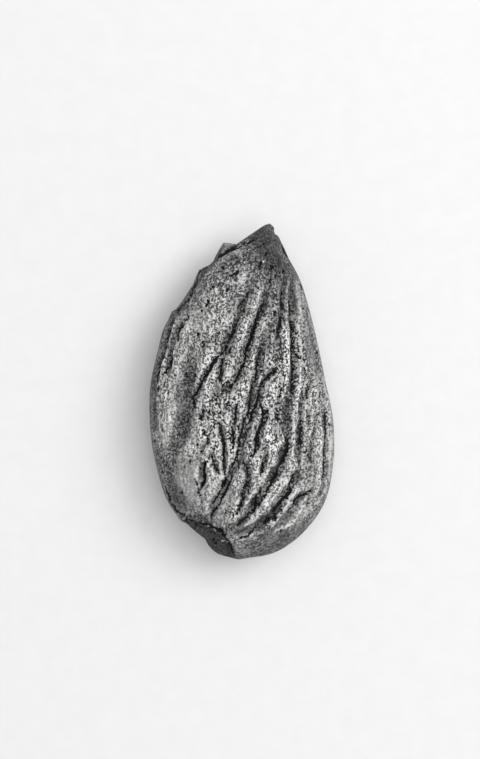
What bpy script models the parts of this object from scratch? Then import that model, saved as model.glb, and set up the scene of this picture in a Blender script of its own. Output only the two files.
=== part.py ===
"""An apricot kernel lying on its belly: one solid, with its shrunken, furrowed seed coat as relief.

Blender 4.5, metres, +Z up. The origin is under the middle of the kernel, on the surface that it lies on.
The pointed tip is towards +Y and the blunt end, with the dark scar where the kernel hung in its stone,
is towards -Y, on the -X side. The tables are in millimetres, in plan, as seen from above.
"""

import math
import random

import bmesh
import bpy
import numpy as np
from mathutils import Vector, noise

MM = 0.001

CROWN_HEIGHT = 2.95  # millimetres from the edge line to the top of the back
BELLY_DEPTH = 2.72  # millimetres from the edge line to the bottom of the belly, before it is pressed flat
FLAT_PRESS = 0.12  # millimetres of belly taken off by the flat spot that it rests on
EDGE_HEIGHT = BELLY_DEPTH - FLAT_PRESS

RING_POINTS = 280  # points round each ring of the fine mesh that the relief is raised on
RINGS = 240  # steps from the scar to the tip
ROUND_EVENING = 0.13  # moves ring points off the edges and on to the faces, so that they are evenly spaced
KEPT_SHARE = 0.082  # share of the fine mesh's triangles that is kept, most of them along the furrows
LEFT_EDGE_POWER = 1.34  # above 1, the section narrows to a keel at its edge
RIGHT_EDGE_POWER = 1.12

# The ribs that the body is lofted through, from the scar to the tip: where each meets the left edge and the
# right edge, and its share of the full height.
RIBS = (
    ((-1.92, -8.02), (-1.92, -8.02), 0.000),
    ((-2.38, -7.68), (-1.68, -8.46), 0.090),
    ((-2.95, -7.18), (-1.06, -8.90), 0.185),
    ((-3.55, -6.62), (0.14, -9.04), 0.335),
    ((-4.09, -5.70), (1.84, -8.76), 0.560),
    ((-4.48, -4.43), (3.39, -7.67), 0.775),
    ((-4.80, -2.92), (4.56, -5.98), 0.915),
    ((-4.94, -1.20), (5.01, -3.82), 0.985),
    ((-4.87, 0.40), (4.99, -1.60), 1.000),
    ((-4.50, 2.10), (4.60, 0.40), 0.970),
    ((-4.08, 3.55), (4.20, 2.35), 0.900),
    ((-3.10, 4.95), (3.72, 4.35), 0.790),
    ((-2.25, 6.20), (3.20, 6.00), 0.655),
    ((-1.25, 7.20), (2.62, 7.10), 0.515),
    ((-0.10, 8.00), (2.25, 7.90), 0.375),
    ((0.80, 8.62), (1.84, 8.50), 0.235),
    ((1.27, 8.93), (1.80, 8.80), 0.130),
    ((1.58, 9.03), (1.58, 9.03), 0.000),
)

# Furrows of the back, broad and narrow: half width and depth, then the route in plan.
FURROWS = (
    (0.50, 0.24, ((-2.85, 3.10), (-2.90, 0.60), (-3.00, -1.00), (-3.45, -2.60), (-3.95, -3.90))),
    (0.42, 0.22, ((-4.00, -3.70), (-3.80, -5.00), (-3.25, -6.00), (-2.30, -6.85))),
    (0.25, 0.29, ((0.45, 5.60), (-0.15, 4.11), (-0.63, 3.03), (-0.94, 2.06), (-1.12, 1.10), (-1.18, 0.30))),
    (0.20, 0.21, ((-0.96, 2.12), (-1.48, 1.58), (-1.96, 0.86), (-2.32, 0.25), (-2.60, -0.59),
                  (-2.58, -1.20))),
    (0.28, 0.34, ((1.50, 6.00), (1.30, 4.96), (0.81, 3.75), (0.45, 2.67), (0.15, 1.70), (-0.27, 0.61),
                  (-0.70, 0.22), (-1.24, -0.15), (-1.62, -0.70))),
    (0.24, 0.34, ((1.40, 3.60), (1.10, 2.10), (0.93, 1.10), (0.68, 0.20), (0.52, -0.83), (0.25, -1.80),
                  (0.03, -2.76), (-0.12, -3.73), (-0.60, -4.57), (-1.00, -5.30), (-1.48, -6.14),
                  (-1.78, -6.90))),
    (0.20, 0.32, ((2.30, 1.45), (1.72, 1.00), (1.22, 0.42), (1.00, -0.40), (0.70, -1.15), (0.38, -2.00),
                  (0.13, -2.80))),
    (0.20, 0.27, ((1.10, -0.70), (1.32, -1.44), (1.12, -2.04), (0.88, -2.64), (0.84, -3.25), (0.50, -3.80))),
    (0.20, 0.27, ((0.08, -3.60), (0.36, -4.30), (0.40, -4.90), (0.15, -5.60), (0.02, -6.25), (-0.28, -7.00))),
    (0.17, 0.20, ((-0.50, -4.70), (-0.80, -5.30), (-1.15, -6.00), (-1.50, -6.60), (-1.80, -7.10))),
    (0.24, 0.30, ((2.80, 6.40), (2.86, 4.60), (2.92, 2.90), (2.97, 1.34), (2.92, 0.37), (2.72, -0.50))),
    (0.28, 0.27, ((2.86, 0.25), (2.62, -0.83), (2.52, -2.04), (2.50, -3.00))),
    (0.28, 0.33, ((2.60, -2.40), (2.44, -3.12), (2.26, -3.97), (1.90, -4.57), (1.42, -5.22), (0.81, -6.14),
                  (0.21, -6.86), (-0.50, -7.50))),
    (0.28, 0.30, ((3.20, -3.90), (3.05, -4.70), (2.70, -5.35), (2.20, -6.00), (1.78, -6.70), (1.20, -7.15),
                  (0.50, -7.55), (-0.40, -7.90))),
    (0.22, 0.22, ((3.95, -5.30), (3.35, -5.70), (3.08, -6.20), (2.60, -6.80), (2.00, -7.30), (1.30, -7.75))),
    (0.25, 0.25, ((3.50, 0.70), (3.42, -0.83), (3.30, -2.04), (3.18, -3.25), (3.15, -4.20))),
    (0.20, 0.19, ((2.42, 6.60), (2.35, 5.30), (2.30, 4.20), (2.05, 3.20), (1.90, 2.40))),
    (0.20, 0.15, ((1.95, 4.40), (1.62, 3.20), (1.40, 2.20), (1.45, 1.50))),
    (0.32, 0.15, ((-1.60, -0.65), (-2.05, -0.85), (-2.45, -0.45))),
    (0.18, 0.25, ((-1.25, -1.45), (-1.05, -2.30), (-0.95, -3.20), (-0.93, -4.10), (-1.00, -4.90))),
    (0.18, 0.24, ((-1.60, -3.00), (-1.65, -3.60), (-1.38, -4.20), (-0.98, -4.90))),
    (0.17, 0.20, ((-0.18, -0.40), (-0.28, -1.20), (-0.42, -2.00), (-0.42, -2.70), (-0.33, -3.40))),
    (0.20, 0.19, ((-1.80, -3.95), (-2.12, -4.15), (-2.15, -4.80), (-2.25, -5.60))),
    (0.17, 0.17, ((-1.50, -2.10), (-1.85, -2.70), (-2.15, -3.20), (-2.50, -3.60))),
    (0.17, 0.18, ((1.25, -2.95), (1.38, -3.50), (1.18, -4.10), (1.12, -4.90))),
    (0.19, 0.15, ((2.14, 0.30), (2.05, -0.60), (2.02, -1.40), (2.22, -2.10))),
    (0.16, 0.14, ((4.10, -0.80), (4.15, -1.60), (4.05, -2.30), (3.88, -3.20), (3.60, -4.20))),
    (0.13, 0.16, ((3.70, 0.30), (3.65, -0.50), (3.72, -1.40), (3.66, -2.60))),
    (0.18, 0.15, ((-1.95, 5.30), (-1.60, 5.62), (-1.10, 5.80))),
    (0.17, 0.19, ((-2.80, 4.20), (-3.45, 3.40), (-3.88, 2.20), (-3.95, 1.30), (-4.25, 0.60))),
    (0.14, 0.16, ((-3.55, 4.20), (-4.00, 3.00), (-4.25, 2.00), (-4.62, 0.80), (-4.72, -0.60),
                  (-4.66, -2.60))),
    (0.15, 0.15, ((3.62, 4.20), (3.95, 2.70), (4.25, 1.00), (4.45, -0.60), (4.66, -2.20), (4.64, -3.60),
                  (4.52, -5.00), (4.00, -6.20))),
)
END_RISE = 4.5  # each end of a furrow narrows and rises over this many of its half widths
CREST_SHARE = 0.28  # height of the ridge beside a furrow, as a share of the furrow's depth
CREST_AWAY = 2.1  # how far from the furrow the ridge runs, and how wide it is, in half widths of the furrow
CREST_WIDTH = 1.0
ROUTE_STEPS = 5  # straight steps between two points of a route

# The hidden face has furrows of the same kind, drawn by a rule.
BELLY_FURROWS = 13
BELLY_HALF_WIDTH = (0.15, 0.24)
BELLY_FURROW_DEPTH = (0.12, 0.26)
BELLY_WANDER = 0.06
BELLY_FORKS = 9
BELLY_SEED = 11

# The rest spot's middle and its clear half sizes in plan, where the belly has no furrows.
REST_SPOT = (0.0, -0.9)
REST_CLEAR = (1.9, 3.0)
CUTTER_SIZE = 40.0

# Torn flakes of the edges: -1 for the left edge and 1 for the right, the shares of the way from scar to tip where
# a flake starts, has its corner and ends, and how far the corner stands out.
EDGE_FLAKES = (
    (-1, 0.600, 0.617, 0.622, 0.10),
    (-1, 0.684, 0.715, 0.738, 0.21),
    (-1, 0.752, 0.794, 0.816, 0.47),
    (1, 0.830, 0.862, 0.876, 0.08),
)
FLAKE_HALF_ANGLE = 0.24  # radians round the ring from the edge that a flake reaches
EDGE_STEP = 0.004  # step along the edge that its direction is read over

# The scar: an oval round the blunt pole, sunk behind a raised lip.
SCAR_REACH_AT_EDGES = (0.122, 0.145)  # share of the way from scar to tip, at the left and the right edge
SCAR_REACH_ON_FACE = 0.203
SCAR_SINK = 0.20
SCAR_LIP = 0.08
SCAR_EDGE = 0.018
SCAR_RIM = 0.12  # the scar sinks less close to the kernel's edge line: within this share of the back's height

PUCKER = 0.055  # millimetres of uneven shrinkage between the furrows
PUCKER_SIZE = 0.75
PUCKER_STRETCH = 2.6  # the puckers are this much longer along the kernel than across it


def through(rows, shares):
    """A smooth curve through the rows, read at each share of its run from 0 to 1."""
    rows = np.asarray(rows, float)
    padded = np.vstack([2 * rows[0] - rows[1], rows, 2 * rows[-1] - rows[-2]])
    place = np.clip(np.asarray(shares, float), 0, 1) * (len(rows) - 1)
    step = np.minimum(place.astype(int), len(rows) - 2)
    part = (place - step)[:, None]
    before, start, end, after = (padded[step + offset] for offset in range(4))
    return 0.5 * (
        2 * start
        + (end - before) * part
        + (2 * before - 5 * start + 4 * end - after) * part**2
        + (3 * start - before - 3 * end + after) * part**3
    )


def smoothstep(value):
    value = np.clip(value, 0, 1)
    return value * value * (3 - 2 * value)


def distance_to(route, plan):
    """Each plan point's distance to the smooth route, and how far along it the nearest place is, from 0 to 1."""
    line = through(route, np.linspace(0, 1, ROUTE_STEPS * (len(route) - 1) + 1))
    nearest = np.full(len(plan), np.inf)
    along = np.zeros(len(plan))
    for step, (start, end) in enumerate(zip(line[:-1], line[1:])):
        run = end - start
        part = np.clip((plan - start) @ run / (run @ run), 0, 1)
        away = np.linalg.norm(plan - start - part[:, None] * run, axis=1)
        closer = away < nearest
        nearest[closer] = away[closer]
        along[closer] = (step + part[closer]) / (len(line) - 1)
    return nearest, along


def pressed_in(plan, furrows):
    """How deep the furrows are at each plan point, less the ridges beside them.

    Where two furrows meet, the deeper one counts, with a soft join, and no ridge runs across a furrow.
    """
    furrowed = np.zeros(len(plan))
    ridged = np.zeros(len(plan))
    for half_width, depth, route in furrows:
        length = np.linalg.norm(np.diff(np.array(route), axis=0), axis=1).sum()
        away, along = distance_to(route, plan)
        rise = smoothstep(np.minimum(along, 1 - along) * length / (END_RISE * half_width))
        deep = depth * rise
        widths = away / (half_width * (1 + rise) / 2)
        furrowed = (furrowed**4 + (deep * np.exp(-(widths**2))) ** 4) ** 0.25
        ridge = CREST_SHARE * deep * np.exp(-(((widths - CREST_AWAY) / CREST_WIDTH) ** 2))
        ridged = np.maximum(ridged, ridge)
    return furrowed - ridged * (1 - smoothstep(furrowed / 0.08))


def ribs_at(shares):
    """Left edge, right edge and share of the full height at each share of the way from scar to tip."""
    left = through([rib[0] for rib in RIBS], shares)
    right = through([rib[1] for rib in RIBS], shares)
    height = through([(rib[2],) for rib in RIBS], shares)[:, 0]
    return left, right, height


def belly_furrows():
    """Furrows that fan out from the scar under the kernel and run out before the tip, with forks between them."""
    draw = random.Random(BELLY_SEED)
    furrows = []
    for number in range(BELLY_FURROWS + BELLY_FORKS):
        fork = number >= BELLY_FURROWS
        if fork:
            across = draw.uniform(-0.7, 0.7)
            start = draw.uniform(0.25, 0.60)
            end = start + draw.uniform(0.10, 0.20)
            slant = draw.choice((-0.17, 0.17))
        else:
            across = -0.86 + 1.72 * (number + 0.5) / BELLY_FURROWS
            start = draw.uniform(0.16, 0.32)
            end = draw.uniform(0.62, 0.84)
            slant = draw.uniform(-0.06, 0.06)
        shares = np.linspace(start, end, 4 if fork else 8)
        left, right, _ = ribs_at(shares)
        wander = np.array([draw.uniform(-BELLY_WANDER, BELLY_WANDER) for _ in shares])
        place = across + wander + slant * np.linspace(0, 1, len(shares))
        route = (left + right) / 2 + (right - left) / 2 * place[:, None]
        furrows.append((draw.uniform(*BELLY_HALF_WIDTH), draw.uniform(*BELLY_FURROW_DEPTH), route))
    return furrows


def ring_angles(turn):
    """Angles round a ring, from the left edge over the back, evenly spaced along the section's outline."""
    return turn + ROUND_EVENING * np.sin(2 * turn)


def smooth_body(share, angle):
    """Points of the body without its relief: each ring spans a rib from edge to edge."""
    left, right, height = ribs_at(share)
    across = -np.cos(angle)
    rise = np.sin(angle)
    power = LEFT_EDGE_POWER + (RIGHT_EDGE_POWER - LEFT_EDGE_POWER) * (across + 1) / 2
    up = np.sign(rise) * np.abs(rise) ** power
    plan = (left + right) / 2 + (right - left) / 2 * across[:, None]
    full = np.where(rise > 0, CROWN_HEIGHT, BELLY_DEPTH)
    return np.column_stack([plan, EDGE_HEIGHT + full * height * up])


def flakes(share, angle):
    """How far, and which way in plan, the torn flakes of the edges stand out."""
    sideways = np.zeros((len(share), 2))
    for side in (-1, 1):
        off_edge = np.minimum(angle, 2 * math.pi - angle) if side < 0 else np.abs(angle - math.pi)
        reach = np.zeros(len(share))
        for which, start, corner, end, height in EDGE_FLAKES:
            if which == side:
                reach += np.interp(share, (start, corner, end), (0, height, 0))
        edge = 0 if side < 0 else 1
        along = ribs_at(share + EDGE_STEP)[edge] - ribs_at(share - EDGE_STEP)[edge]
        out = np.column_stack([along[:, 1], -along[:, 0]]) * side / np.linalg.norm(along, axis=1)[:, None]
        sideways += out * (reach * np.exp(-((off_edge / FLAKE_HALF_ANGLE) ** 2)))[:, None]
    return sideways


def scar_relief(share, angle, over_edge):
    """The scar sinks inside its edge and its lip stands up just outside."""
    at_edge = np.interp(-np.cos(angle), (-1, 1), SCAR_REACH_AT_EDGES)
    reach = at_edge + (SCAR_REACH_ON_FACE - at_edge) * np.sin(angle) ** 2
    inside = smoothstep((reach - share) / SCAR_EDGE + 0.5) * smoothstep(np.abs(over_edge) / SCAR_RIM)
    lip = np.exp(-(((share - reach - 1.2 * SCAR_EDGE) / SCAR_EDGE) ** 2))
    return SCAR_LIP * lip - SCAR_SINK * inside


def pucker(points):
    """Uneven shrinkage: a noise drawn out along the kernel."""
    stretch = np.array([1, 1 / PUCKER_STRETCH, 1]) / PUCKER_SIZE
    return np.array([noise.noise(Vector(point)) for point in points * stretch])


def skin_relief(points, share, angle):
    """How far the seed coat stands out from the smooth body at each point, or in where it is negative."""
    plan = points[:, :2]
    over_edge = (points[:, 2] - EDGE_HEIGHT) / CROWN_HEIGHT
    back = smoothstep(over_edge / 0.25)
    belly = smoothstep(-over_edge / 0.25)
    off_spot = np.linalg.norm((plan - REST_SPOT) / REST_CLEAR, axis=1)
    belly *= smoothstep((off_spot - 0.75) / 0.5)
    to_pole = smoothstep(share / 0.12) * smoothstep((1 - share) / 0.12)
    depth = back * pressed_in(plan, FURROWS) + belly * pressed_in(plan, belly_furrows())
    uneven = PUCKER * pucker(points) * (back + belly)
    return scar_relief(share, angle, over_edge) + to_pole * (uneven - depth)


def make_kernel():
    """A UV sphere whose poles become the scar and the tip, shaped ring by ring and then given its skin."""
    mesh = bpy.data.meshes.new("kernel")
    shape = bmesh.new()
    bmesh.ops.create_uvsphere(shape, u_segments=RING_POINTS, v_segments=RINGS, radius=1)
    ball = np.array([vertex.co for vertex in shape.verts])
    share = 1 - np.arccos(np.clip(ball[:, 2], -1, 1)) / math.pi
    angle = ring_angles(np.arctan2(ball[:, 1], ball[:, 0]) % (2 * math.pi))

    smooth = smooth_body(share, angle)
    for vertex, point in zip(shape.verts, smooth):
        vertex.co = point
    shape.normal_update()
    outward = np.array([vertex.normal for vertex in shape.verts])

    skin = smooth + outward * skin_relief(smooth, share, angle)[:, None]
    skin[:, :2] += flakes(share, angle)
    skin[:, :2] -= (skin.min(axis=0) + skin.max(axis=0))[:2] / 2
    for vertex, point in zip(shape.verts, skin):
        vertex.co = point * MM
    shape.to_mesh(mesh)
    shape.free()
    mesh.shade_smooth()
    kernel = bpy.data.objects.new("kernel", mesh)
    thinned = kernel.modifiers.new("fewer_triangles", "DECIMATE")
    thinned.ratio = KEPT_SHARE
    return kernel


def press_flat(kernel, cutters):
    """Cuts the belly flat where it lies on the surface, so that the kernel rests without rocking."""
    mesh = bpy.data.meshes.new("surface_below")
    block = bmesh.new()
    bmesh.ops.create_cube(block, size=CUTTER_SIZE * MM)
    bmesh.ops.translate(block, verts=block.verts, vec=(0, 0, -CUTTER_SIZE / 2 * MM))
    block.to_mesh(mesh)
    block.free()
    cutter = bpy.data.objects.new("surface_below", mesh)
    cutter.hide_render = True
    cutter.display_type = "WIRE"
    cutters.objects.link(cutter)
    cut = kernel.modifiers.new("rest_spot", "BOOLEAN")
    cut.operation = "DIFFERENCE"
    cut.solver = "EXACT"
    cut.object = cutter


def seed_coat():
    """Dry grey-brown seed coat with a pale bloom, matt."""
    material = bpy.data.materials.new("seed_coat")
    material.use_nodes = True
    shader = material.node_tree.nodes["Principled BSDF"]
    shader.inputs["Base Color"].default_value = (0.18, 0.18, 0.178, 1)
    shader.inputs["Roughness"].default_value = 0.62
    shader.inputs["Metallic"].default_value = 0.0
    return material


def main():
    for old in list(bpy.data.objects):
        bpy.data.objects.remove(old)
    collection = bpy.data.collections.new("apricot_kernel")
    cutters = bpy.data.collections.new("cutters")
    bpy.context.scene.collection.children.link(collection)
    bpy.context.scene.collection.children.link(cutters)
    kernel = make_kernel()
    kernel.data.materials.append(seed_coat())
    collection.objects.link(kernel)
    press_flat(kernel, cutters)


main()
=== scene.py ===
"""A dried apricot kernel lying on a pale surface: its furrowed seed coat, the pale scurf on it, and a stage.

Tables are in millimetres, in plan, as seen from above, with the tip towards +Y and the scar at the blunt end
towards -Y, on the -X side. Everything that is handed to Blender is in metres.
"""

import math
import random

import bpy
import numpy as np
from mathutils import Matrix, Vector, noise


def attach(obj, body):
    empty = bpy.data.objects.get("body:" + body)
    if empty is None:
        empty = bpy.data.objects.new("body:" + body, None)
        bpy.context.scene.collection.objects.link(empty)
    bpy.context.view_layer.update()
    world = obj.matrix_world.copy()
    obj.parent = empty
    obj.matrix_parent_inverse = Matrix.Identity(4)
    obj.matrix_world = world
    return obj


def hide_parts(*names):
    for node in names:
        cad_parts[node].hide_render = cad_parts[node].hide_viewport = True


bl_info = {
    "name": "Apricot kernel",
    "version": (1, 0, 0),
    "blender": (4, 5, 0),
    "location": "View3D > Sidebar > Kernel",
    "description": "Builds a dried apricot kernel with a furrowed seed coat and its scurf, on a pale stage",
    "category": "Add Mesh",
}

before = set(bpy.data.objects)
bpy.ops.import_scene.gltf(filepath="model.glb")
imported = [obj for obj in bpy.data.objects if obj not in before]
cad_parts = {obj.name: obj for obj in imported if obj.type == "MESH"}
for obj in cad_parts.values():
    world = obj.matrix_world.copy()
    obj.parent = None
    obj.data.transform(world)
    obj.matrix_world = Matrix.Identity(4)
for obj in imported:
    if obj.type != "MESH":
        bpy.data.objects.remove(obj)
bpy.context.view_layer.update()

MM = 0.001
VIEW_AXIS = (-0.095, 0.640)  # where the camera stands in plan, and how high over the edge line
VIEW_HEIGHT = 96.9

# The body, as in the part's own source.
CROWN_HEIGHT = 2.95  # from the edge line to the top of the back
BELLY_DEPTH = 2.72  # from the edge line to the bottom of the belly, before it is pressed flat
FLAT_PRESS = 0.12  # taken off the belly by the flat spot that it rests on
EDGE_HEIGHT = BELLY_DEPTH - FLAT_PRESS
RING_POINTS = 460
RINGS = 214
BACK_POINTS = 0.64  # share of a ring's points that lie on the back
ROUND_EVENING = 0.13  # moves ring points off the edges and on to the faces, so that they are evenly spaced
LEFT_EDGE_POWER = 1.34  # above 1, the section narrows to a keel at its edge
RIGHT_EDGE_POWER = 1.12

# Where each rib meets the left edge and the right edge, and its share of the full height, from scar to tip.
RIBS = (
    ((-1.92, -8.02), (-1.92, -8.02), 0.000),
    ((-2.38, -7.68), (-1.68, -8.46), 0.090),
    ((-2.95, -7.18), (-1.06, -8.90), 0.185),
    ((-3.55, -6.62), (0.14, -9.04), 0.335),
    ((-4.09, -5.70), (1.84, -8.76), 0.560),
    ((-4.48, -4.43), (3.39, -7.67), 0.775),
    ((-4.80, -2.92), (4.56, -5.98), 0.915),
    ((-4.94, -1.20), (5.01, -3.82), 0.985),
    ((-4.87, 0.40), (4.99, -1.60), 1.000),
    ((-4.50, 2.10), (4.60, 0.40), 0.970),
    ((-4.08, 3.55), (4.20, 2.35), 0.900),
    ((-3.10, 4.95), (3.72, 4.35), 0.790),
    ((-2.25, 6.20), (3.20, 6.00), 0.655),
    ((-1.25, 7.20), (2.62, 7.10), 0.515),
    ((-0.10, 8.00), (2.25, 7.90), 0.375),
    ((0.80, 8.62), (1.84, 8.50), 0.235),
    ((1.27, 8.93), (1.80, 8.80), 0.130),
    ((1.58, 9.03), (1.58, 9.03), 0.000),
)

# Furrows of the back: half width and depth of the valley, and its route in plan.
FURROWS = (
    (0.50, 0.24, ((-2.85, 3.10), (-2.90, 0.60), (-3.00, -1.00), (-3.45, -2.60), (-3.95, -3.90))),
    (0.36, 0.14, ((-4.00, -3.70), (-3.80, -5.00), (-3.25, -6.00), (-2.30, -6.85))),
    (0.25, 0.26, ((0.45, 5.60), (-0.15, 4.11), (-0.63, 3.03), (-0.94, 2.06), (-1.12, 1.10), (-1.18, 0.30))),
    (0.20, 0.18, ((-0.96, 2.12), (-1.48, 1.58), (-1.96, 0.86), (-2.32, 0.25), (-2.60, -0.59),
                  (-2.58, -1.20))),
    (0.28, 0.30, ((1.50, 6.00), (1.30, 4.96), (0.81, 3.75), (0.45, 2.67), (0.15, 1.70), (-0.27, 0.61),
                  (-0.70, 0.22), (-1.24, -0.15), (-1.62, -0.70))),
    (0.24, 0.30, ((1.40, 3.60), (1.10, 2.10), (0.93, 1.10), (0.68, 0.20), (0.52, -0.83), (0.25, -1.80),
                  (0.03, -2.76), (-0.12, -3.73), (-0.60, -4.57), (-1.00, -5.30), (-1.48, -6.14),
                  (-1.78, -6.90))),
    (0.20, 0.28, ((2.30, 1.45), (1.72, 1.00), (1.22, 0.42), (1.00, -0.40), (0.70, -1.15), (0.38, -2.00),
                  (0.13, -2.80))),
    (0.20, 0.24, ((1.10, -0.70), (1.32, -1.44), (1.12, -2.04), (0.88, -2.64), (0.84, -3.25), (0.50, -3.80))),
    (0.20, 0.24, ((0.08, -3.60), (0.36, -4.30), (0.40, -4.90), (0.15, -5.60), (0.02, -6.25), (-0.28, -7.00))),
    (0.17, 0.18, ((-0.50, -4.70), (-0.80, -5.30), (-1.15, -6.00), (-1.50, -6.60), (-1.80, -7.10))),
    (0.24, 0.27, ((2.80, 6.40), (2.86, 4.60), (2.92, 2.90), (2.97, 1.34), (2.92, 0.37), (2.72, -0.50))),
    (0.28, 0.26, ((2.86, 0.25), (2.62, -0.83), (2.52, -2.04), (2.50, -3.00))),
    (0.28, 0.30, ((2.60, -2.40), (2.44, -3.12), (2.26, -3.97), (1.90, -4.57), (1.42, -5.22), (0.81, -6.14),
                  (0.21, -6.86), (-0.50, -7.50))),
    (0.28, 0.28, ((3.20, -3.90), (3.05, -4.70), (2.70, -5.35), (2.20, -6.00), (1.78, -6.70), (1.20, -7.15),
                  (0.50, -7.55), (-0.40, -7.90))),
    (0.22, 0.20, ((3.95, -5.30), (3.35, -5.70), (3.08, -6.20), (2.60, -6.80), (2.00, -7.30), (1.30, -7.75))),
    (0.25, 0.24, ((3.50, 0.70), (3.42, -0.83), (3.30, -2.04), (3.18, -3.25), (3.15, -4.20))),
    (0.20, 0.18, ((2.42, 6.60), (2.35, 5.30), (2.30, 4.20), (2.05, 3.20), (1.90, 2.40))),
    (0.20, 0.14, ((1.95, 4.40), (1.62, 3.20), (1.40, 2.20), (1.45, 1.50))),
    (0.32, 0.14, ((-1.60, -0.65), (-2.05, -0.85), (-2.45, -0.45))),
    (0.18, 0.22, ((-1.25, -1.45), (-1.05, -2.30), (-0.95, -3.20), (-0.93, -4.10), (-1.00, -4.90))),
    (0.18, 0.21, ((-1.60, -3.00), (-1.65, -3.60), (-1.38, -4.20), (-0.98, -4.90))),
    (0.17, 0.18, ((-0.18, -0.40), (-0.28, -1.20), (-0.42, -2.00), (-0.42, -2.70), (-0.33, -3.40))),
    (0.20, 0.17, ((-1.80, -3.95), (-2.12, -4.15), (-2.15, -4.80), (-2.25, -5.60))),
    (0.17, 0.15, ((-1.50, -2.10), (-1.85, -2.70), (-2.15, -3.20), (-2.50, -3.60))),
    (0.17, 0.16, ((1.25, -2.95), (1.38, -3.50), (1.18, -4.10), (1.12, -4.90))),
    (0.19, 0.14, ((2.14, 0.30), (2.05, -0.60), (2.02, -1.40), (2.22, -2.10))),
    (0.16, 0.13, ((4.10, -0.80), (4.15, -1.60), (4.05, -2.30), (3.88, -3.20), (3.60, -4.20))),
    (0.13, 0.14, ((3.70, 0.30), (3.65, -0.50), (3.72, -1.40), (3.66, -2.60))),
    (0.18, 0.13, ((-1.95, 5.30), (-1.60, 5.62), (-1.10, 5.80))),
    (0.17, 0.16, ((-2.80, 4.20), (-3.45, 3.40), (-3.88, 2.20), (-3.95, 1.30), (-4.25, 0.60))),
    (0.14, 0.14, ((-3.55, 4.20), (-4.00, 3.00), (-4.25, 2.00), (-4.62, 0.80), (-4.72, -0.60),
                  (-4.66, -2.60))),
    (0.15, 0.13, ((3.62, 4.20), (3.95, 2.70), (4.25, 1.00), (4.45, -0.60), (4.66, -2.20), (4.64, -3.60),
                  (4.52, -5.00), (4.00, -6.20))),
)

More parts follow.
